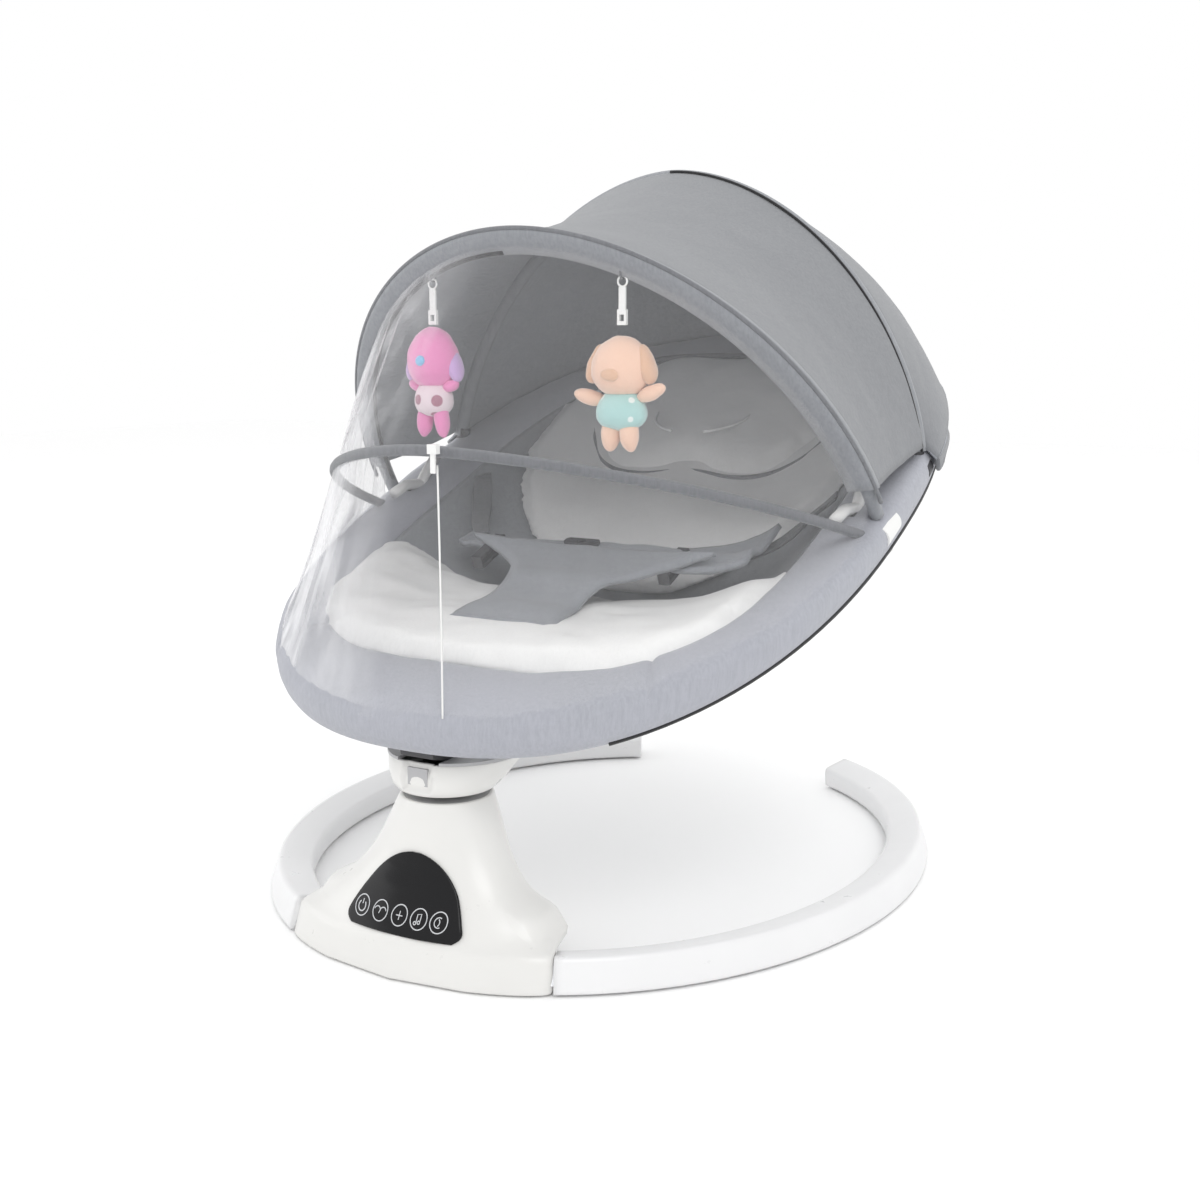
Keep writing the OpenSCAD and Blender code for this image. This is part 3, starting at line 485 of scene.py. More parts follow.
def round_section(corners, radius, steps=4):
    """Rounds the corners of a closed outline, each with steps + 1 points."""
    out = []
    c = [np.array(p, float) for p in corners]
    for i, p in enumerate(c):
        a, b = c[i - 1] - p, c[(i + 1) % len(c)] - p
        a, b = a / np.linalg.norm(a), b / np.linalg.norm(b)
        for k in range(steps + 1):
            s = k / steps
            out.append((1 - s) ** 2 * (p + a * radius) + 2 * s * (1 - s) * p + s * s * (p + b * radius))
    return out


# The tube's outline: how far in from the ring's outer edge, and height. It leans inwards at the top.
TUBE_CORNERS = [(0.4, 1.2), (9, RING_H), (39, RING_H - 7.2), (38, 1.2)]
TUBE_ROUND = 4.5
# The rounded end of the tube: degrees past the last ring, and the share of its section that is left
TUBE_END = ((0.1, 0.96), (0.168, 0.86), (0.2, 0.7), (0.208, 0.4))


def make_ring(side, name, replaced):
    """One half of the ring. side is 1 for +X and -1 for -X."""
    section = round_section(TUBE_CORNERS, TUBE_ROUND)
    middle = np.mean(section, axis=0)
    spans = np.linspace(FOOT_SPAN + 0.15, 180 - RING_OPEN + 1.0, 90)
    rings = [[ring_pt(side * t, x, z) for x, z in section] for t in spans]
    for past, share in TUBE_END:
        t = spans[-1] + past
        rings.append([ring_pt(side * t, *(middle + (np.array(q) - middle) * share)) for q in section])
    return done(loft(name, rings, ["ring"], back=side > 0), "base", replaced)


make_ring(1, "ring_right", ("ring_tube_right", "end_caps"))
make_ring(-1, "ring_left", ("ring_tube_left",))

# ---- Pylon --------

# The pylon's levels: height, half width, front and back in front of the ring's middle, the power
# of the outline, and how far its sides are set back
ROWS = [(31, 113, 329, 272, 6, 30), (36, 105, 326, 264, 3.6, 22), (44, 97, 322, 258, 3, 16),
        (52, 86, 317, 252, 2.8, 11), (62, 73, 311, 246, 2.5, 6), (76, 61, 306, 239, 2.3, 3),
        (92, 53, 302, 232, 2.1, 1), (108, 45.5, 300, 227, 2, 0), (125, 37, 299, 225, 2, 0)]


def row_at(z):
    """The pylon's level at any height."""
    return [line(z, [(r[0], r[i]) for r in ROWS]) for i in range(6)]


def foot_pt(t, off, z):
    """The pylon's foot follows the ring. Its outline is nearly square."""
    h = (z - 1) / (RING_H - 1)
    front, back = 9 * h + off, RING_W + h - off
    return ring_pt((FOOT_SPAN - off / 5) * spow(cos(t), 2 / 9),
                   (front + back) / 2 + (back - front) / 2 * spow(sin(t), 2 / 9), z)


def row_pt(row, t, off=0.0):
    z, half, front, back, power, bend = row
    x = (half - off) * spow(cos(t), 2 / power)
    y = MID_Y - (front + back) / 2 + ((front - back) / 2 - off) * spow(sin(t), 2 / power)
    return np.array((x, y + bend * (x / half) ** 2, z))


# Heights of the rings of the flare
LEVELS = [31, 33, 36, 40, 44, 48, 52, 57, 62, 69, 76, 84, 92, 100, 108, 116, 122]
# The rounded rim at the top of the neck: inset and height
NECK_RIM = ((0.2, 123.6), (0.9, 124.7), (2.2, 125.1), (3.6, 124.8), (4.0, 122.0), (4.0, 116.0))
# The shoulders at the back of the flare: place across and up, and their half sizes
SHOULDER_X, SHOULDER_Z, SHOULDER_HALF_W, SHOULDER_HALF_H = 88, 44, 15, 9
SHOULDER_PUSH = (5, 2.0, 2.0)


def make_pylon():
    angles = [360 * k / 144 for k in range(144)]
    rings = [[foot_pt(t, 1.6, 1.0) for t in angles], [foot_pt(t, 0.4, 1.6) for t in angles]]
    rings += [[foot_pt(t, 0, z) for t in angles] for z in (3, 9, 16, 22, 26, RING_H - 0.6)]
    flare = len(rings)
    rings += [[row_pt(row_at(z), t) for t in angles] for z in LEVELS]
    top = row_at(125)
    rings += [[row_pt(top, t, off) * (1, 1, 0) + (0, 0, z) for t in angles] for off, z in NECK_RIM]
    p = np.array(rings)
    # Ease the step between the foot and the flare, and the facets between the levels.
    eased = slice(flare - 1, flare + len(LEVELS))
    for _ in range(3):
        q = p.copy()
        q[1:-1] = 0.25 * p[:-2] + 0.5 * p[1:-1] + 0.25 * p[2:]
        p[eased] = q[eased]
    for i in range(flare, flare + len(LEVELS)):
        for j in range(p.shape[1]):
            x, y, z = p[i, j]
            if y > MID_Y - 300:
                across, up = (abs(x) - SHOULDER_X) / SHOULDER_HALF_W, (z - SHOULDER_Z) / SHOULDER_HALF_H
                push = np.array((math.copysign(SHOULDER_PUSH[0], x), *SHOULDER_PUSH[1:]))
                p[i, j] += push * math.exp(-across ** 2 - up ** 2)
    return done(loft("pylon_shell", p, ["housing"]), "base",
                ("front_housing", "rear_housing"))


make_pylon()


def front_at(x, z, off):
    """Y of the pylon's front face, or of a face that lies off millimetres behind it."""
    _, half, front, back, power, bend = row_at(z)
    y = MID_Y - (front + back) / 2 + bend * (x / half) ** 2
    return y - ((front - back) / 2 - off) * (1 - min(abs(x) / (half - off), 1) ** power) ** (1 / power)


# The touch panel's lowest and highest edge, and its width at the bottom
PANEL_LO, PANEL_HI, PANEL_W = 31, 88, 112
LENS_PROUD, LENS_THICK = 2.1, 1.7


def panel_half(s):
    """Half the panel's width at a share of its height: an arch whose lower corners are rounded."""
    corner = 0.17 * max(0, 1 - s / 0.16) ** 2.2
    return PANEL_W / 2 * (1 - 0.40 * s) * math.sqrt(1 - s ** 3.4) * (1 - corner)


def make_lens():
    grid = []
    for s in spread_eased(32):
        z, half = lerp(PANEL_LO, PANEL_HI, s), panel_half(s)
        grid.append([(half * k / 20, front_at(half * k / 20, z, -LENS_PROUD), z) for k in range(-20, 21)])
    ob = shell("lens", grid, LENS_THICK, "lens", flip=True)
    return done(ob, "base", ("panel_lens",))


make_lens()


def on_panel(x, z):
    """A point just above the lens."""
    return np.array((x, front_at(x, z, -LENS_PROUD - 0.2), z))


def panel_line(name, points, width):
    """A flat printed line on the lens, along points (x, z)."""
    p = np.array(points, float)
    grid = []
    for i, q in enumerate(p):
        d = p[min(i + 1, len(p) - 1)] - p[max(i - 1, 0)]
        n = np.array((-d[1], d[0])) / max(np.linalg.norm(d), 1e-9) * width / 2
        grid.append([on_panel(*(q + n)), on_panel(*(q - n))])
    return shell(name, grid, 0.15, "icon")


def arc(x, z, r, a, b, n=24):
    """Points round the middle x, z from angle a to angle b."""
    return [(x + r * cos(lerp(a, b, k / n)), z + r * sin(lerp(a, b, k / n))) for k in range(n + 1)]


ICON_Z, ICON_R = 44.0, 7.0
ICON_X = (-39, -20, -1.5, 16, 33)


def icon_marks(z):
    """The marks inside the rings, from left to right, as lines of (x, z) points."""
    power = [arc(-39, z - 0.3, 3.6, 130, 410), [(-39, z + 1), (-39, z + 4.4)]]
    swing = [arc(-23, z - 0.5, 3.0, 20, 160), arc(-17.4, z - 0.5, 3.0, 20, 160),
             [(-21, z - 2), (-19.5, z + 2)]]
    plus = [[(-4.5, z), (1.5, z)], [(-1.5, z - 3), (-1.5, z + 3)]]
    note = [[(14.4, z - 2.6), (14.4, z + 3), (17.6, z + 3.6), (17.6, z - 1.8)],
            arc(13.4, z - 2.8, 1.1, 0, 360, 12), arc(16.6, z - 2.0, 1.1, 0, 360, 12)]
    moon = [arc(33, z, 3.4, 60, 300), arc(31.3, z, 2.6, 300, 420)]
    return power + swing + plus + note + moon


def make_icons():
    made = [panel_line(f"icon_ring_{i}", arc(x, ICON_Z, ICON_R, 0, 360, 40), 0.75)
            for i, x in enumerate(ICON_X)]
    for i, points in enumerate(icon_marks(ICON_Z)):
        made.append(panel_line(f"icon_mark_{i}", points, 0.9 if i < 2 else 0.7))
    bpy.ops.object.select_all(action="DESELECT")
    for ob in made:
        ob.select_set(True)
    bpy.context.view_layer.objects.active = made[0]
    bpy.ops.object.join()
    made[0].name = "panel_icons"
    return done(made[0], "base")


make_icons()

# ---- Hub --------


def bowl_ring(s, off):
    """One ring of the bowl, which widens and whose middle moves back as s goes from 0 to 1."""
    r = lerp(36, 54, s ** 0.62) - off
    y = MID_Y - lerp(262, 246, s ** 1.4)
    z = lerp(130, 156, s)
    return [np.array((r * cos(3 * k), y + r * sin(3 * k), z)) for k in range(120)]


def make_bowl():
    rings = [bowl_ring(0, 22), bowl_ring(0, 8), bowl_ring(0, 1.2)]
    side = len(rings)
    rings += [bowl_ring(s, 0) for s in (0.03, 0.08, 0.16, 0.26, 0.4, 0.55, 0.7, 0.85, 0.97)]
    rings += [bowl_ring(1, off) for off in (0.3, 1.0, 2.6)] + [bowl_ring(s, 3.2) for s in (0.97, 0.8)]
    p = np.array(rings)
    # The recess for the button
    for i in range(side, len(p)):
        for j in range(p.shape[1]):
            x, y, z = p[i, j]
            if y < MID_Y - 275 and abs(x) < 13 and z > 136:
                p[i, j, 1] += 3.2
    return done(loft("bowl_shell", p, ["housing"]), "hub", ("hub_bowl",))


make_bowl()

# ---- CAD nodes that stay as they are, by material --------

PAINTED = {
    "steel": ("swing_shaft", "drive_magnet", "hub_screws", "recline_pin", "button_spring", "bracket_screws",
              "bearings", "ring_joiners", "base_screws"),
    "dark": ("hub_core", "magnet_arm", "shaft_circlip", "seat_bracket", "speaker", "dc_inlet",
             "bearing_block", "bow_clips", "front_bow_eyes", "net_bow_eyes", "buckle", "strap_sliders"),
    "knob": ("canopy_mounts", "mount_pins", "mount_knobs", "zip_pull", "pink_strap", "peach_strap"),
    "grey_plastic": ("neck_collar", "hub_plate", "recline_button"),
    "tube": ("front_tube", "rear_tube"),
    "housing": ("bottom_cover",),
    "board": ("control_board",),
    "copper": ("drive_coil",),
    "rubber": ("rubber_feet",),
    "strap": ("toy_loops",),
}
for material, names in PAINTED.items():
    for node in names:
        paint(node, material)

# ---- Seat: border, bucket and pads --------


def outer(t):
    """The border's outer edge, at angle t round the seat. 90 is the head and 270 the foot."""
    x, v = loop(t)
    out = 10 + (12 if v < 0 else 5) * abs(sin(t)) ** 2
    r = math.hypot(x, v)
    return x * (1 + out / r), v * (1 + out / r)


# The border's inner edge: half width, how far it reaches to the head and to the foot, and its power
INNER_W, INNER_HEAD, INNER_FOOT, INNER_N = 200, 306, 297, 3.5
# How steeply cloth and pads rise to the border
RISE = 4.2


def inner(t, grow=0.0):
    """The border's inner edge, at angle t."""
    return loop(t, INNER_W + grow, (INNER_HEAD if sin(t) > 0 else INNER_FOOT) + grow, INNER_N)


def crest(t):
    """Height of the border's top, at angle t."""
    s = sin(t)
    return 15 + (10 * s * s if s < 0 else 5 * s * s)


def base_w(v):
    """Height of the pads along the middle of the seat."""
    return table(v, [(-300, -8), (-284, -8), (-92, -44), (-68, -60), (60, -44), (286, -14), (310, -10)])


def inside(x, v):
    """0 at the middle of the seat and 1 at the border's inner edge."""
    b = INNER_HEAD if v > 0 else INNER_FOOT
    return (abs(x / INNER_W) ** INNER_N + abs(v / b) ** INNER_N) ** (1 / INNER_N)


def cloth_w(x, v):
    """Height of the bucket's cloth: low in the middle, rising to the border."""
    return lerp(base_w(v) - 13, 2.0, min(inside(x, v), 1) ** RISE)


def pad_w(x, v):
    """Top of the pads."""
    return lerp(base_w(v), 8.0, min(inside(x, v), 1) ** RISE)


# The border's section from its outer edge to its inner edge and back below: how far in, share of
# the crest's height, and depth
BORDER_SECTION = [(0.0, 0, 0), (0.02, 0.45, 0), (0.09, 0.8, 0), (0.2, 0.95, 0), (0.34, 1.0, 0),
                  (0.5, 1.0, 0), (0.66, 0.95, 0), (0.8, 0.83, 0), (0.91, 0.6, 0), (0.98, 0.25, 0),
                  (1.0, 0.0, 0), (0.985, 0, -6), (0.93, 0, -10), (0.75, 0, -13), (0.5, 0, -15),
                  (0.28, 0, -17), (0.12, 0, -17), (0.04, 0, -12), (0.01, 0, -6)]
# Where the border's seams lie, in degrees round the seat, and their depth
SEAMS, SEAM_DEPTH = (307, 233), 3.2


def make_border():
    rings = []
    for k in range(360):
        t = k + 0.5
        (ox, ov), (ix, iv) = outer(t), inner(t, 1.5)
        seam = sum(math.exp(-((k - place) / 0.9) ** 2) for place in SEAMS)
        ring = []
        for s, up, down in BORDER_SECTION:
            x, v = lerp(ox, ix, s), lerp(ov, iv, s)
            w = crest(t) * up + down
            if up > 0.3:
                w += 1.4 * ripple((x, v, 0), 0.018, 3) - SEAM_DEPTH * seam
            ring.append(seat_pt(x, v, w))
        rings.append(ring)
    ob = loft("border_cover", rings, ["border"], closed=True, back=True)
    done(ob, "seat", ("seat_border",))
    # A black piping under the border's outer edge on the right: partly the seam line there, partly painted
    # shade under the border.
    edge = [seat_pt(*(np.array(outer(k)) * 0.985), -15) for k in range(-60, 75, 3)]
    done(tube("border_seam_and_painted_shade", edge, 2.2, "black", 8), "seat")


def make_bucket():
    steps = [1.0, 0.985, 0.96, 0.92, 0.87, 0.8, 0.7, 0.58, 0.45, 0.3, 0.15, 0.02]
    grid = []
    for k in range(0, 361, 3):
        row = []
        for s in steps:
            x, v = inner(k)
            x, v = x * s, v * s
            row.append(seat_pt(x, v, cloth_w(x, v) + 0.8 * ripple((x, v, 1), 0.03, 5)))
        grid.append(row)
    p = np.array(grid)
    # The cloth is 2 mm thick.
    under = p - np.array(seat_pt(0, 0, 2.0)) + np.array(seat_pt(0, 0, 0))
    rings = [p[:-1, j] for j in range(len(steps))] + [under[:-1, j] for j in reversed(range(len(steps)))]
    ob = loft("bucket_cloth", rings, ["wall"], closed=True)
    done(ob, "seat", ("seat_bucket",))


def puff(ob, limit):
    """Fills a cushion with air as a cloth, which moves no point past the limit, then smooths it."""
    bpy.context.view_layer.objects.active = ob
    remesh = ob.modifiers.new("even", "REMESH")
    remesh.mode, remesh.voxel_size = "VOXEL", 0.005
    bpy.ops.object.modifier_apply(modifier="even")
    rest = np.array([v.co[:] for v in ob.data.vertices])
    cloth = ob.modifiers.new("air", "CLOTH")
    cloth.settings.quality = 4
    cloth.settings.mass = 0.2
    cloth.settings.tension_stiffness = 12
    cloth.settings.use_pressure = True
    cloth.settings.uniform_pressure_force = 4.0
    cloth.settings.effector_weights.gravity = 0
    scene = bpy.context.scene
    for frame_number in range(1, 17):
        scene.frame_set(frame_number)
    view = ob.evaluated_get(bpy.context.evaluated_depsgraph_get())
    moved = np.array([v.co[:] for v in view.data.vertices]) - rest
    size = np.linalg.norm(moved, axis=1)[:, None]
    moved *= np.minimum(1, limit / np.maximum(size, 1e-9))
    ob.modifiers.clear()
    ob.data.vertices.foreach_set("co", (rest + moved).ravel())
    scene.frame_set(1)
    even = ob.modifiers.new("even", "SMOOTH")
    even.factor, even.iterations = 0.5, 7
    bpy.ops.object.modifier_apply(modifier="even")
    soft = ob.modifiers.new("soft", "SUBSURF")
    soft.levels = soft.render_levels = 1
    bpy.ops.object.modifier_apply(modifier="soft")
    ob.data.polygons.foreach_set("use_smooth", [True] * len(ob.data.polygons))


def catmull(a, b, c, d, s):
    """A smooth curve from b to c, whose neighbours are a and d."""
    square, cube = 2 * a - 5 * b + 4 * c - d, 3 * b - a - 3 * c + d
    return 0.5 * ((2 * b) + (c - a) * s + square * s ** 2 + cube * s ** 3)


def outline(points, n=120):
    """A smooth closed curve of about n points through (x, v) points."""
    p = np.array(points, float)
    m = len(p)
    steps = n // m
    return [catmull(p[i - 1], p[i], p[(i + 1) % m], p[(i + 2) % m], k / steps)
            for i in range(m) for k in range(steps)]


def cushion(name, node, edge, middle, under, thick, crown, folds, seed, limit):
    """A crowned closed pad that lies on the surface under(x, v), inside an outline."""
    steps = [1.0, 0.985, 0.95, 0.89, 0.8, 0.68, 0.54, 0.4, 0.26, 0.13, 0.03]
    rings = []
    mx, mv = middle
    for s in steps[::-1]:
        rings.append([seat_pt(lerp(mx, x, s), lerp(mv, v, s), under(lerp(mx, x, s), lerp(mv, v, s)))
                      for x, v in edge])
    for s in steps:
        ring = []
        for x, v in edge:
            px, pv = lerp(mx, x, s), lerp(mv, v, s)
            h = thick * math.sqrt(max(1 - s ** 5, 0.2)) + crown * (1 - s * s)
            h += folds * ripple((px, pv * 0.6, 0), 0.022, seed) * (1 - s ** 6)
            h += folds * 0.5 * ripple((px * 1.2, pv, 0), 0.05, seed + 9) * (1 - s ** 8)
            ring.append(seat_pt(px, pv, under(px, pv) + max(h, 1.0)))
        rings.append(ring)
    ob = loft(name, rings, ["white"])
    puff(ob, limit)
    done(ob, "seat", (node,))


def mirrored(right):
    """A closed outline from its right half, whose two ends lie on the middle line."""
    return right + [(-x, v) for x, v in right[-2:0:-1]]


LOWER = mirrored([(0, -306), (84, -304), (150, -288), (188, -253), (203, -200), (206, -154),
                  (201, -112), (184, -92), (150, -94), (100, -104), (0, -110)])
BACK = mirrored([(0, -64), (48, -60), (82, -40), (112, -15), (134, 5), (160, 40), (178, 80), (187, 120),
                 (190, 160), (186, 200), (168, 244), (136, 282), (80, 298), (0, 302)])
PILLOW = [(-120, 150), (-92, 118), (-50, 110), (0, 119), (50, 110), (92, 118), (124, 150), (142, 205),
          (138, 258), (100, 298), (0, 306), (-100, 298), (-138, 258), (-142, 205)]


def under_pads(x, v):
    """Underside of the lower and back pads."""
    return cloth_w(x, v) + 3.0


def under_pillow(x, v):
    """Underside of the head pillow."""
    return pad_w(x, v) + 1.0


def make_pads():
    cushion("lower_cushion", "lower_pad", outline(LOWER), (0, -190), under_pads,
            thick=17, crown=4, folds=5, seed=1, limit=0.006)
    cushion("back_cushion", "back_pad", outline(BACK), (0, 120), under_pads,
            thick=13, crown=3, folds=4, seed=4, limit=0.006)
    edge = outline(PILLOW, 168)
    cushion("head_cushion", "head_pillow", edge, (0, 205), under_pillow,
            thick=17, crown=5, folds=3, seed=7, limit=0.005)
    rim = [seat_pt(x * 1.005, v, under_pillow(x, v) + 8) for x, v in edge]
    done(tube("head_cushion_piping", rim, 3.6, "piping", 10, closed=True), "seat")
    dent_w = under_pillow(0, 200) + 20.5
    dent = [seat_pt(-8 + 52 * cos(a), 188 + 46 * sin(a), dent_w) for a in range(-70, 251, 8)]
    done(tube("head_cushion_seam", dent, 1.6, "white", 8), "seat")


def curve(points, steps):
    """A smooth open curve through (x, v) points, with so many steps between each two."""
    p = np.array([points[0], *points, points[-1]], float)
    out = []
    for i in range(1, len(p) - 2):
        for k in range(steps):
            out.append(catmull(p[i - 1], p[i], p[i + 1], p[i + 2], k / steps))
    return out + [p[-1]]


def band(name, left, right, lift, thick, material, crown):
    """A flat padded band on the pads between two edges, each a list of (x, v). lift is its height
    over the pads, as (share of its length, height) pairs. Gives the piece and its grid."""
    a, b = curve(left, 8), curve(right, 8)
    grid = []
    for i, (p, q) in enumerate(zip(a, b)):
        row = []
        for j in range(13):
            s = j / 12
            x, v = lerp(p, q, s)
            w = pad_w(x, v) + table(i / (len(a) - 1), lift) + crown * math.sin(math.pi * s) ** 0.5
            w += 1.6 * ripple((x, v, 0), 0.03, 11)
            row.append(seat_pt(x, v, w))
        grid.append(row)
    return shell(name, grid, thick, material), grid


def make_harness():
    leg, grid = band("crotch_piece",
                     [(-48, -242), (-42, -208), (-36, -176), (-42, -150), (-68, -122), (-114, -96)],
                     [(52, -242), (50, -208), (52, -180), (68, -155), (98, -132), (136, -108)],
                     [(0, 13), (0.2, 19), (0.6, 37), (1, 43)], 5.0, "harness", 3)
    done(leg, "seat", ("crotch_strap",))
    belt, grid = band("waist_piece",
                      [(-152, -74), (-110, -98), (-50, -110), (0, -118), (50, -122), (110, -122),
                       (160, -106)],
                      [(-146, -44), (-104, -56), (-50, -66), (0, -68), (50, -64), (108, -48), (156, -22)],
                      [(0, 24), (0.3, 44), (0.7, 46), (1, 30)], 5.0, "harness", 3)
    done(belt, "seat")
    for side, name in ((-1, "left"), (1, "right")):
        strap, grid = band(f"side_strap_{name}",
                           [(side * 140, -62), (side * 160, -38), (side * 178, -4), (side * 191, 26)],
                           [(side * 136, -46), (side * 150, -24), (side * 168, 14), (side * 186, 44)],
                           [(0, 26), (0.6, 10), (1, 2)], 3.0, "strap", 0.5)
        done(strap, "seat", ("waist_straps",) if side < 0 else ())


make_border()
make_bucket()
make_pads()
make_harness()

# ---- Canopy --------

# Where the cloth ends on the bows, in degrees
LEFT, RIGHT = 171, 9


def crumple(p, seed, size):
    """How far the cloth stands proud at a point: broad waves and small creases."""
    broad, small = ripple(p * (1, 1, 0.5), 0.011, seed), ripple(p * (0.6, 1.4, 1), 0.035, seed + 4)
    return size * (1.6 * broad + 0.6 * small)


def grow_out(p, amount):
    """Pushes a grid's points along its normals by a table of amounts."""
    n = grid_normals(p)
    mid = p.mean(axis=(0, 1))
    if ((p - mid) * n).sum() < 0:
        n = -n
    return p + n * amount[:, :, None]


def bow_tube(name, body, points, radius, material, sides=8, replaced=()):
    """A sleeve or a piping along a bow."""
    done(tube(name, points, radius, material, sides), body, replaced)


# The hem's section: how far outside the front bow, and how far behind it
HEM = ((8.5, 4), (9.2, -1), (8.6, -6), (4, -9), (-4, -9.5), (-14, -9))


def make_canopy():
    ts, ss = spread(RIGHT, LEFT, 97), spread(0, 1, 33)
    p = np.array([[lerp(rear_pt(t, 6.4), front_pt(t, 6.6) + (0, 2, 0), s) for s in ss] for t in ts])
    bend = [math.sin(math.pi * s) for s in ss]
    sag = np.array([[-15 * b * sin(t) ** 0.8 + crumple(q, 2, b ** 0.4) for b, q in zip(bend, row)]
                    for t, row in zip(ts, p)])
    p = grow_out(p, sag)
    # The inner faces take the darker copy of the cloth, which is painted shade.
    ob = shell("canopy_cloth", p, 2.0, "canopy", "canopy_shaded", flip=True)
    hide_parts("front_canopy")
    front_y = float(front_pt(90)[1])
    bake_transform(ob)
    hem = np.array([[front_pt(t, up) + (0, y, 0) for up, y in HEM] for t in ts])
    hem_ob = shell("canopy_hem", hem, 1.6, "sleeve", flip=True)
    done(hem_ob, "front_bow")
    bow_tube("front_sleeve", "front_bow", [front_pt(t) for t in spread(3, 177, 120)], 6.2, "sleeve", 12,
             ("front_bow",))
    bow_tube("hem_piping_inner", "front_bow",
             [front_pt(t, -13) + (0, -11, 0) for t in spread(92, 174, 70)], 1.9, "black")
    bow_tube("hem_piping_outer", "front_bow",
             [front_pt(t, 9.4) + (0, -6, 0) for t in spread(6, 174, 130)], 1.9, "piping")
    bow_tube("rear_sleeve", "seat", [rear_pt(t, 2.2) for t in spread(8, 172, 120)], 7.2, "sleeve", 12,
             ("rear_bow",))
    bow_tube("rear_piping", "seat", [rear_pt(t, 7.0) + (0, -6.4, 0) for t in spread(8, 90, 70)], 1.3, "black")


def head_pt(t):
    """Where the rear panel meets the border: t runs from the right foot of the bow round the head."""
    lo = math.degrees(math.asin((REAR_V / LOOP_L) ** (LOOP_N / 2)))
    x, v = loop(lerp(lo, 180 - lo, t), LOOP_W + 15, LOOP_L + 14)
    return np.array(seat_pt(x, v, 8))


def skirt_pt(s, drop):
    """The skirt hangs straight down from the rear panel's edge, with small waves."""
    wave = 1.5 * np.array((1, 1, 0)) * ripple(np.array((s * 200, drop, 0)), 0.08, 3)
    return head_pt(s) - np.array((0, 0, 1)) * drop * math.sin(math.pi * s) ** 0.25 + wave


def make_rear():
    ts, ss = spread(0, 1, 97), spread(0, 1, 25)
    grid = []
    for s in ts:
        top, low = rear_pt(lerp(RIGHT, LEFT, s), 6.6), head_pt(s)
        bulge = np.array((0, 0.75, 0.65)) * (34 * math.sin(math.pi * s))
        grid.append([lerp(top, low, q) + bulge * math.sin(math.pi * q) for q in ss])
    p = np.array(grid)
    p = grow_out(p, np.array([[crumple(q, 6, math.sin(math.pi * s) ** 0.4) for s, q in zip(ss, row)]
                              for row in p]))
    # The inner faces take the darker copy of the cloth, which is painted shade.
    ob = shell("rear_cloth", p, 2.0, "canopy", "canopy_shaded")
    done(ob, "seat", ("rear_canopy",))
    skirt = np.array([[skirt_pt(s, drop) for drop in spread(0, 30, 9)] for s in ts])
    # The skirt's inner faces take the darker copy of the cloth, which is painted shade.
    ob = shell("skirt_cloth", skirt, 2.0, "canopy", "canopy_shaded")
    done(ob, "seat", ("head_skirt",))
    done(tube("skirt_hem", [row[-1] for row in skirt], 2.4, "piping", 8), "seat")


# ---- Net --------

# Which line of the lower net the zip runs down, counted from the right
ZIP_LINE = 56


def make_upper_net(ts, ss):
    p = np.array([[lerp(front_pt(t, -3) + (0, -6, 0), net_pt(t, -1), s) for s in ss] for t in ts])
    waves = [2.2 * math.sin(t * 1.1) + 2 * ripple(np.array((t * 3, 0, 0)), 0.05, 2) for t in ts]
    p = grow_out(p, np.array([[wave * math.sin(math.pi * s) for s in ss] for wave in waves]))
    ob = shell("net_upper", p, 0.4, "net")
    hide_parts("mosquito_net")
    metres(front_pt(90))
    metres(net_pt(90))
    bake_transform(ob)


def make_lower_net(ts, ss):
    low = []
    for k, t in enumerate(ts):
        top = net_pt(t, 1)
        a = 360 - lerp(2, 178, k / (len(ts) - 1))
        x, v = outer(a)
        bottom = np.array(seat_pt(x * 0.99, v * 0.99, crest(a) * 0.55))
        row = []
        for s in ss:
            q = lerp(top, bottom, s) + np.array((0, 0, -14)) * math.sin(math.pi * s) * abs(sin(t))
            row.append(q + np.array((0.4, -1, 0)) * 2.6 * math.sin(t * 1.7) * math.sin(math.pi * s))
        low.append(row)
    low = np.array(low)
    ob = shell("net_lower", low, 0.4, "net_low")
    zip_line = tube("net_zip", low[ZIP_LINE, 1:-1] + (0, -0.8, 0), 0.8, "knob", 8)
    for piece, slot in ((ob, "net"), (zip_line, "white_plastic")):
        done(piece, "net_bow")
        metres(net_pt(90))
        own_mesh(piece)


def make_net():
    ts, ss = spread(7, 173, 121), spread(0, 1, 25)
    make_upper_net(ts, ss)
    make_lower_net(ts, ss)
    bow_tube("net_sleeve", "net_bow", [net_pt(t) for t in spread(3, 177, 130)], 4.3, "piping", 12,
             ("net_bow",))


# The two arms of a side bracket, as points across, along and above the seat
BRACKET_ARMS = ([(225, -62, 22), (226, -40, 20), (227, -22, 12), (228, -8, 4)],
                [(225, 20, 26), (226, 4, 20), (227, -12, 12), (228, -22, 4)])


def make_side_brackets():
    """White Y-shaped brackets inside the canopy, one on each side of the seat."""
    for side, name in ((-1, "left"), (1, "right")):
        for i, arm in enumerate(BRACKET_ARMS):
            path = [seat_pt(side * x, v, w + 4) for x, v, w in arm]
            done(tube(f"side_bracket_{name}_{i}", path, 5.2, "knob"), "seat")


make_canopy()
make_rear()
make_net()
make_side_brackets()

# ---- Toys --------


def ball(centre, size, turn, pinch):
    """Points of a soft ellipsoid, as rings. It narrows upwards where pinch is negative."""
    r = np.array(Euler([math.radians(a) for a in turn]).to_matrix())
    rings = []
    for i in range(1, 20):
        a = 180 * i / 20
        ring = []
        for k in range(28):
            b = 360 * k / 28
            q = np.array((sin(a) * cos(b), sin(a) * sin(b), cos(a)))
            q[:2] *= 1 + pinch * q[2]
            ring.append(np.array(centre) + r @ (q * size))
        rings.append(ring)
    return rings


def pair(material, place, size, lean, pinch):
    """The same part on the toy's left and right."""
    x, y, z = place
    return [(material, (side * x, y, z), size, (0, -side * lean, 0), pinch) for side in (-1, 1)]


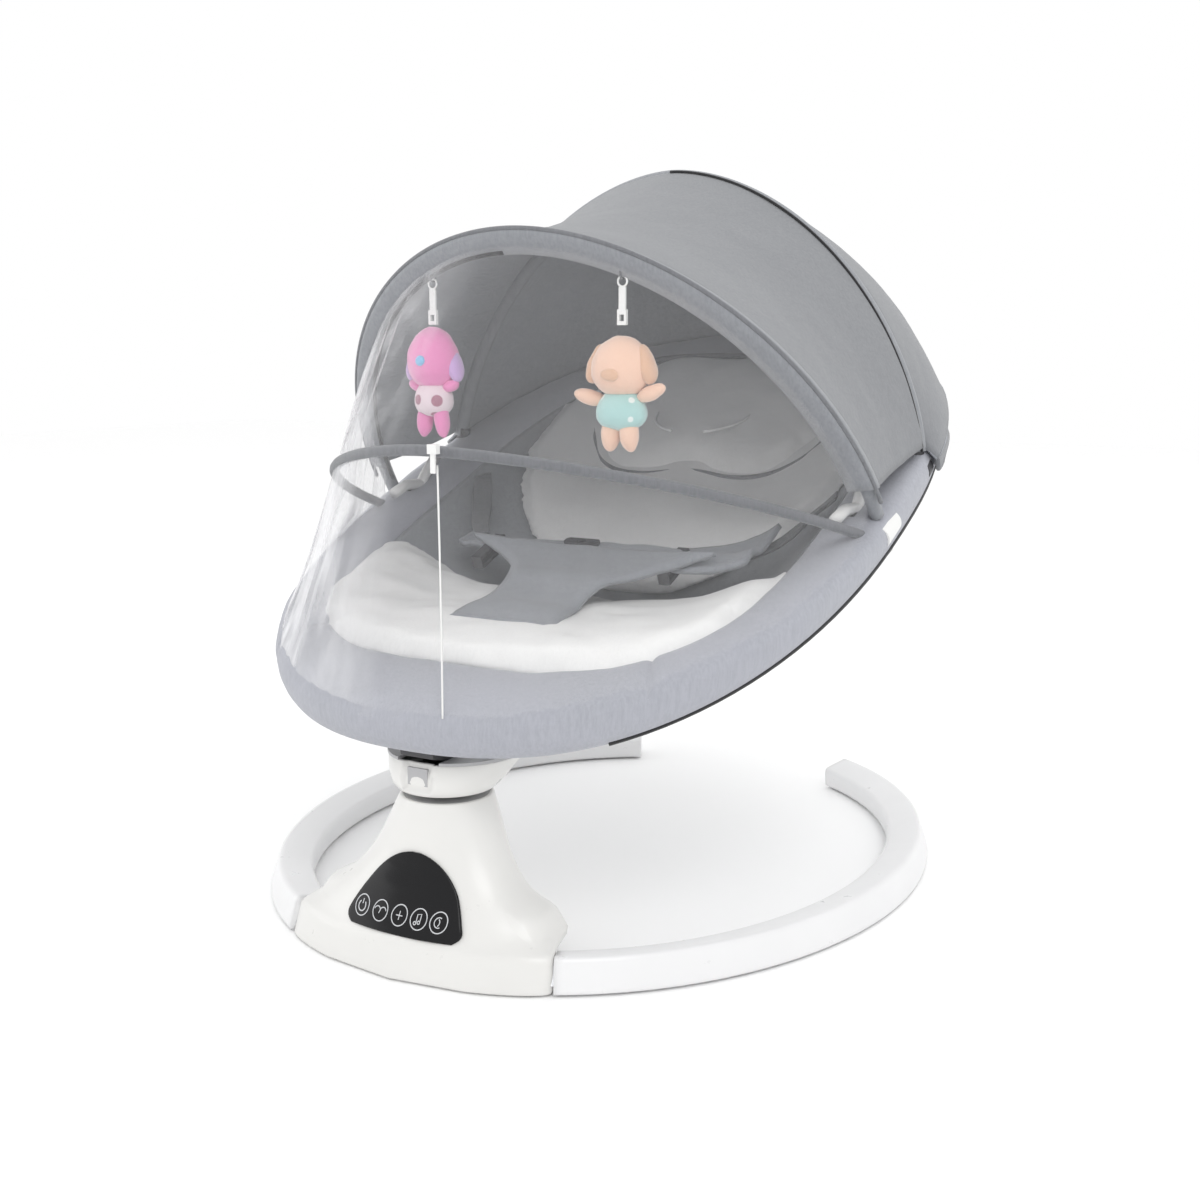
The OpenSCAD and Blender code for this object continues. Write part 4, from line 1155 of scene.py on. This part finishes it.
def toy(name, body, t, z, parts):
    """A plush toy that hangs from the front bow at t, with its middle at height z. Its parts are
    (material, offset from the middle, half sizes, turn, pinch)."""
    x, y, _ = front_pt(t)
    y -= 1
    for i, (material, place, size, turn, pinch) in enumerate(parts):
        centre = (x + place[0], y + place[1], z + place[2])
        ob = loft(f"{name}_{i}", ball(centre, size, turn, pinch), [material], back=True)
        for v in ob.data.vertices:
            v.co += v.normal * 0.0007 * noise.noise(v.co * 120)
        done(ob, body, (body,) if i == 0 else ())


toy("pink_doll", "pink_toy", 111, 436, [
    ("pink", (0, 0, 20), (23, 20, 26), (0, 0, 0), -0.12),
    *pair("lavender", (20, 2, 15), (6, 9, 15), 16, -0.2),
    ("blue", (1, -20, 18), (4.2, 2.4, 4.2), (0, 0, 0), 0.0),
    ("pink_print", (0, 0, -12), (17, 15, 17), (0, 0, 0), -0.2),
    *pair("pink", (17, 0, -3), (8, 6, 5), 20, 0.0),
    ("pink", (-8, -2, -32), (7, 7, 14), (0, 8, 0), 0.1),
    ("pink", (9, -2, -32), (7, 7, 14), (0, -8, 0), 0.1)])
toy("peach_doll", "peach_toy", 68, 430, [
    ("peach", (0, 0, 20), (25, 21, 24), (0, 0, 0), -0.08),
    *pair("peach_ear", (22, 0, 22), (6.5, 10, 16), 16, -0.2),
    ("peach_ear", (0, -20, 14), (8, 3, 5), (0, 0, 0), 0.0),
    ("aqua_print", (0, 0, -12), (21, 16, 18), (0, 0, 0), -0.25),
    ("peach", (-28, 0, -4), (15, 6.5, 6), (0, 14, 0), 0.0),
    ("peach", (26, 0, 0), (13, 6.5, 6), (0, -24, 0), 0.0),
    *pair("peach", (8, -2, -32), (8, 8, 14), 6, 0.1)])

# ---- Stage, light and camera --------


def make_stage():
    """A plain white floor, 12 m square and just under the feet."""
    me = bpy.data.meshes.new("floor")
    corners = [(x * 6, y * 6, -0.0005) for x, y in ((-1, -1), (1, -1), (1, 1), (-1, 1))]
    me.from_pydata(corners, [], [(0, 1, 2, 3)])
    floor = bpy.data.objects.new("floor", me)
    bpy.context.scene.collection.objects.link(floor)
    k = Nodes("floor_white")
    k.set("Base Color", (0.99, 0.99, 0.99, 1))
    k.set("Roughness", 0.9)
    me.materials.append(k.material)


def area_light(name, place, target, size, power):
    data = bpy.data.lights.new(name, "AREA")
    data.shape = "DISK"
    data.size = size
    data.energy = power
    ob = bpy.data.objects.new(name, data)
    ob.location = place
    ob.rotation_euler = (Vector(target) - Vector(place)).to_track_quat("-Z", "Y").to_euler()
    bpy.context.scene.collection.objects.link(ob)


def make_light():
    world = bpy.data.worlds.new("studio")
    bpy.context.scene.world = world
    world.use_nodes = True
    background = world.node_tree.nodes["Background"]
    background.inputs["Color"].default_value = (1, 1, 1, 1)
    background.inputs["Strength"].default_value = 1.0
    area_light("key", (1.6, -2.0, 2.4), (0, 0, 0.3), 1.6, 20)
    area_light("fill", (-2.4, -1.2, 1.2), (0, -0.1, 0.3), 2.0, 9)
    area_light("top", (0.2, 0.6, 2.6), (0, 0, 0.4), 1.6, 10)


def make_camera():
    data = bpy.data.cameras.new("camera")
    data.lens = 43.71
    data.sensor_width = 36
    data.clip_end = 50
    ob = bpy.data.objects.new("camera", data)
    bpy.context.scene.collection.objects.link(ob)
    place, aim = Vector((0.6403, -1.189, 0.4656)), Vector((-0.0084, -0.0387, 0.2357))
    ob.location = place
    ob.rotation_euler = (aim - place).to_track_quat("-Z", "Y").to_euler()
    bpy.context.scene.camera = ob


bpy.context.scene.view_settings.view_transform = "Standard"
make_stage()
make_light()
make_camera()
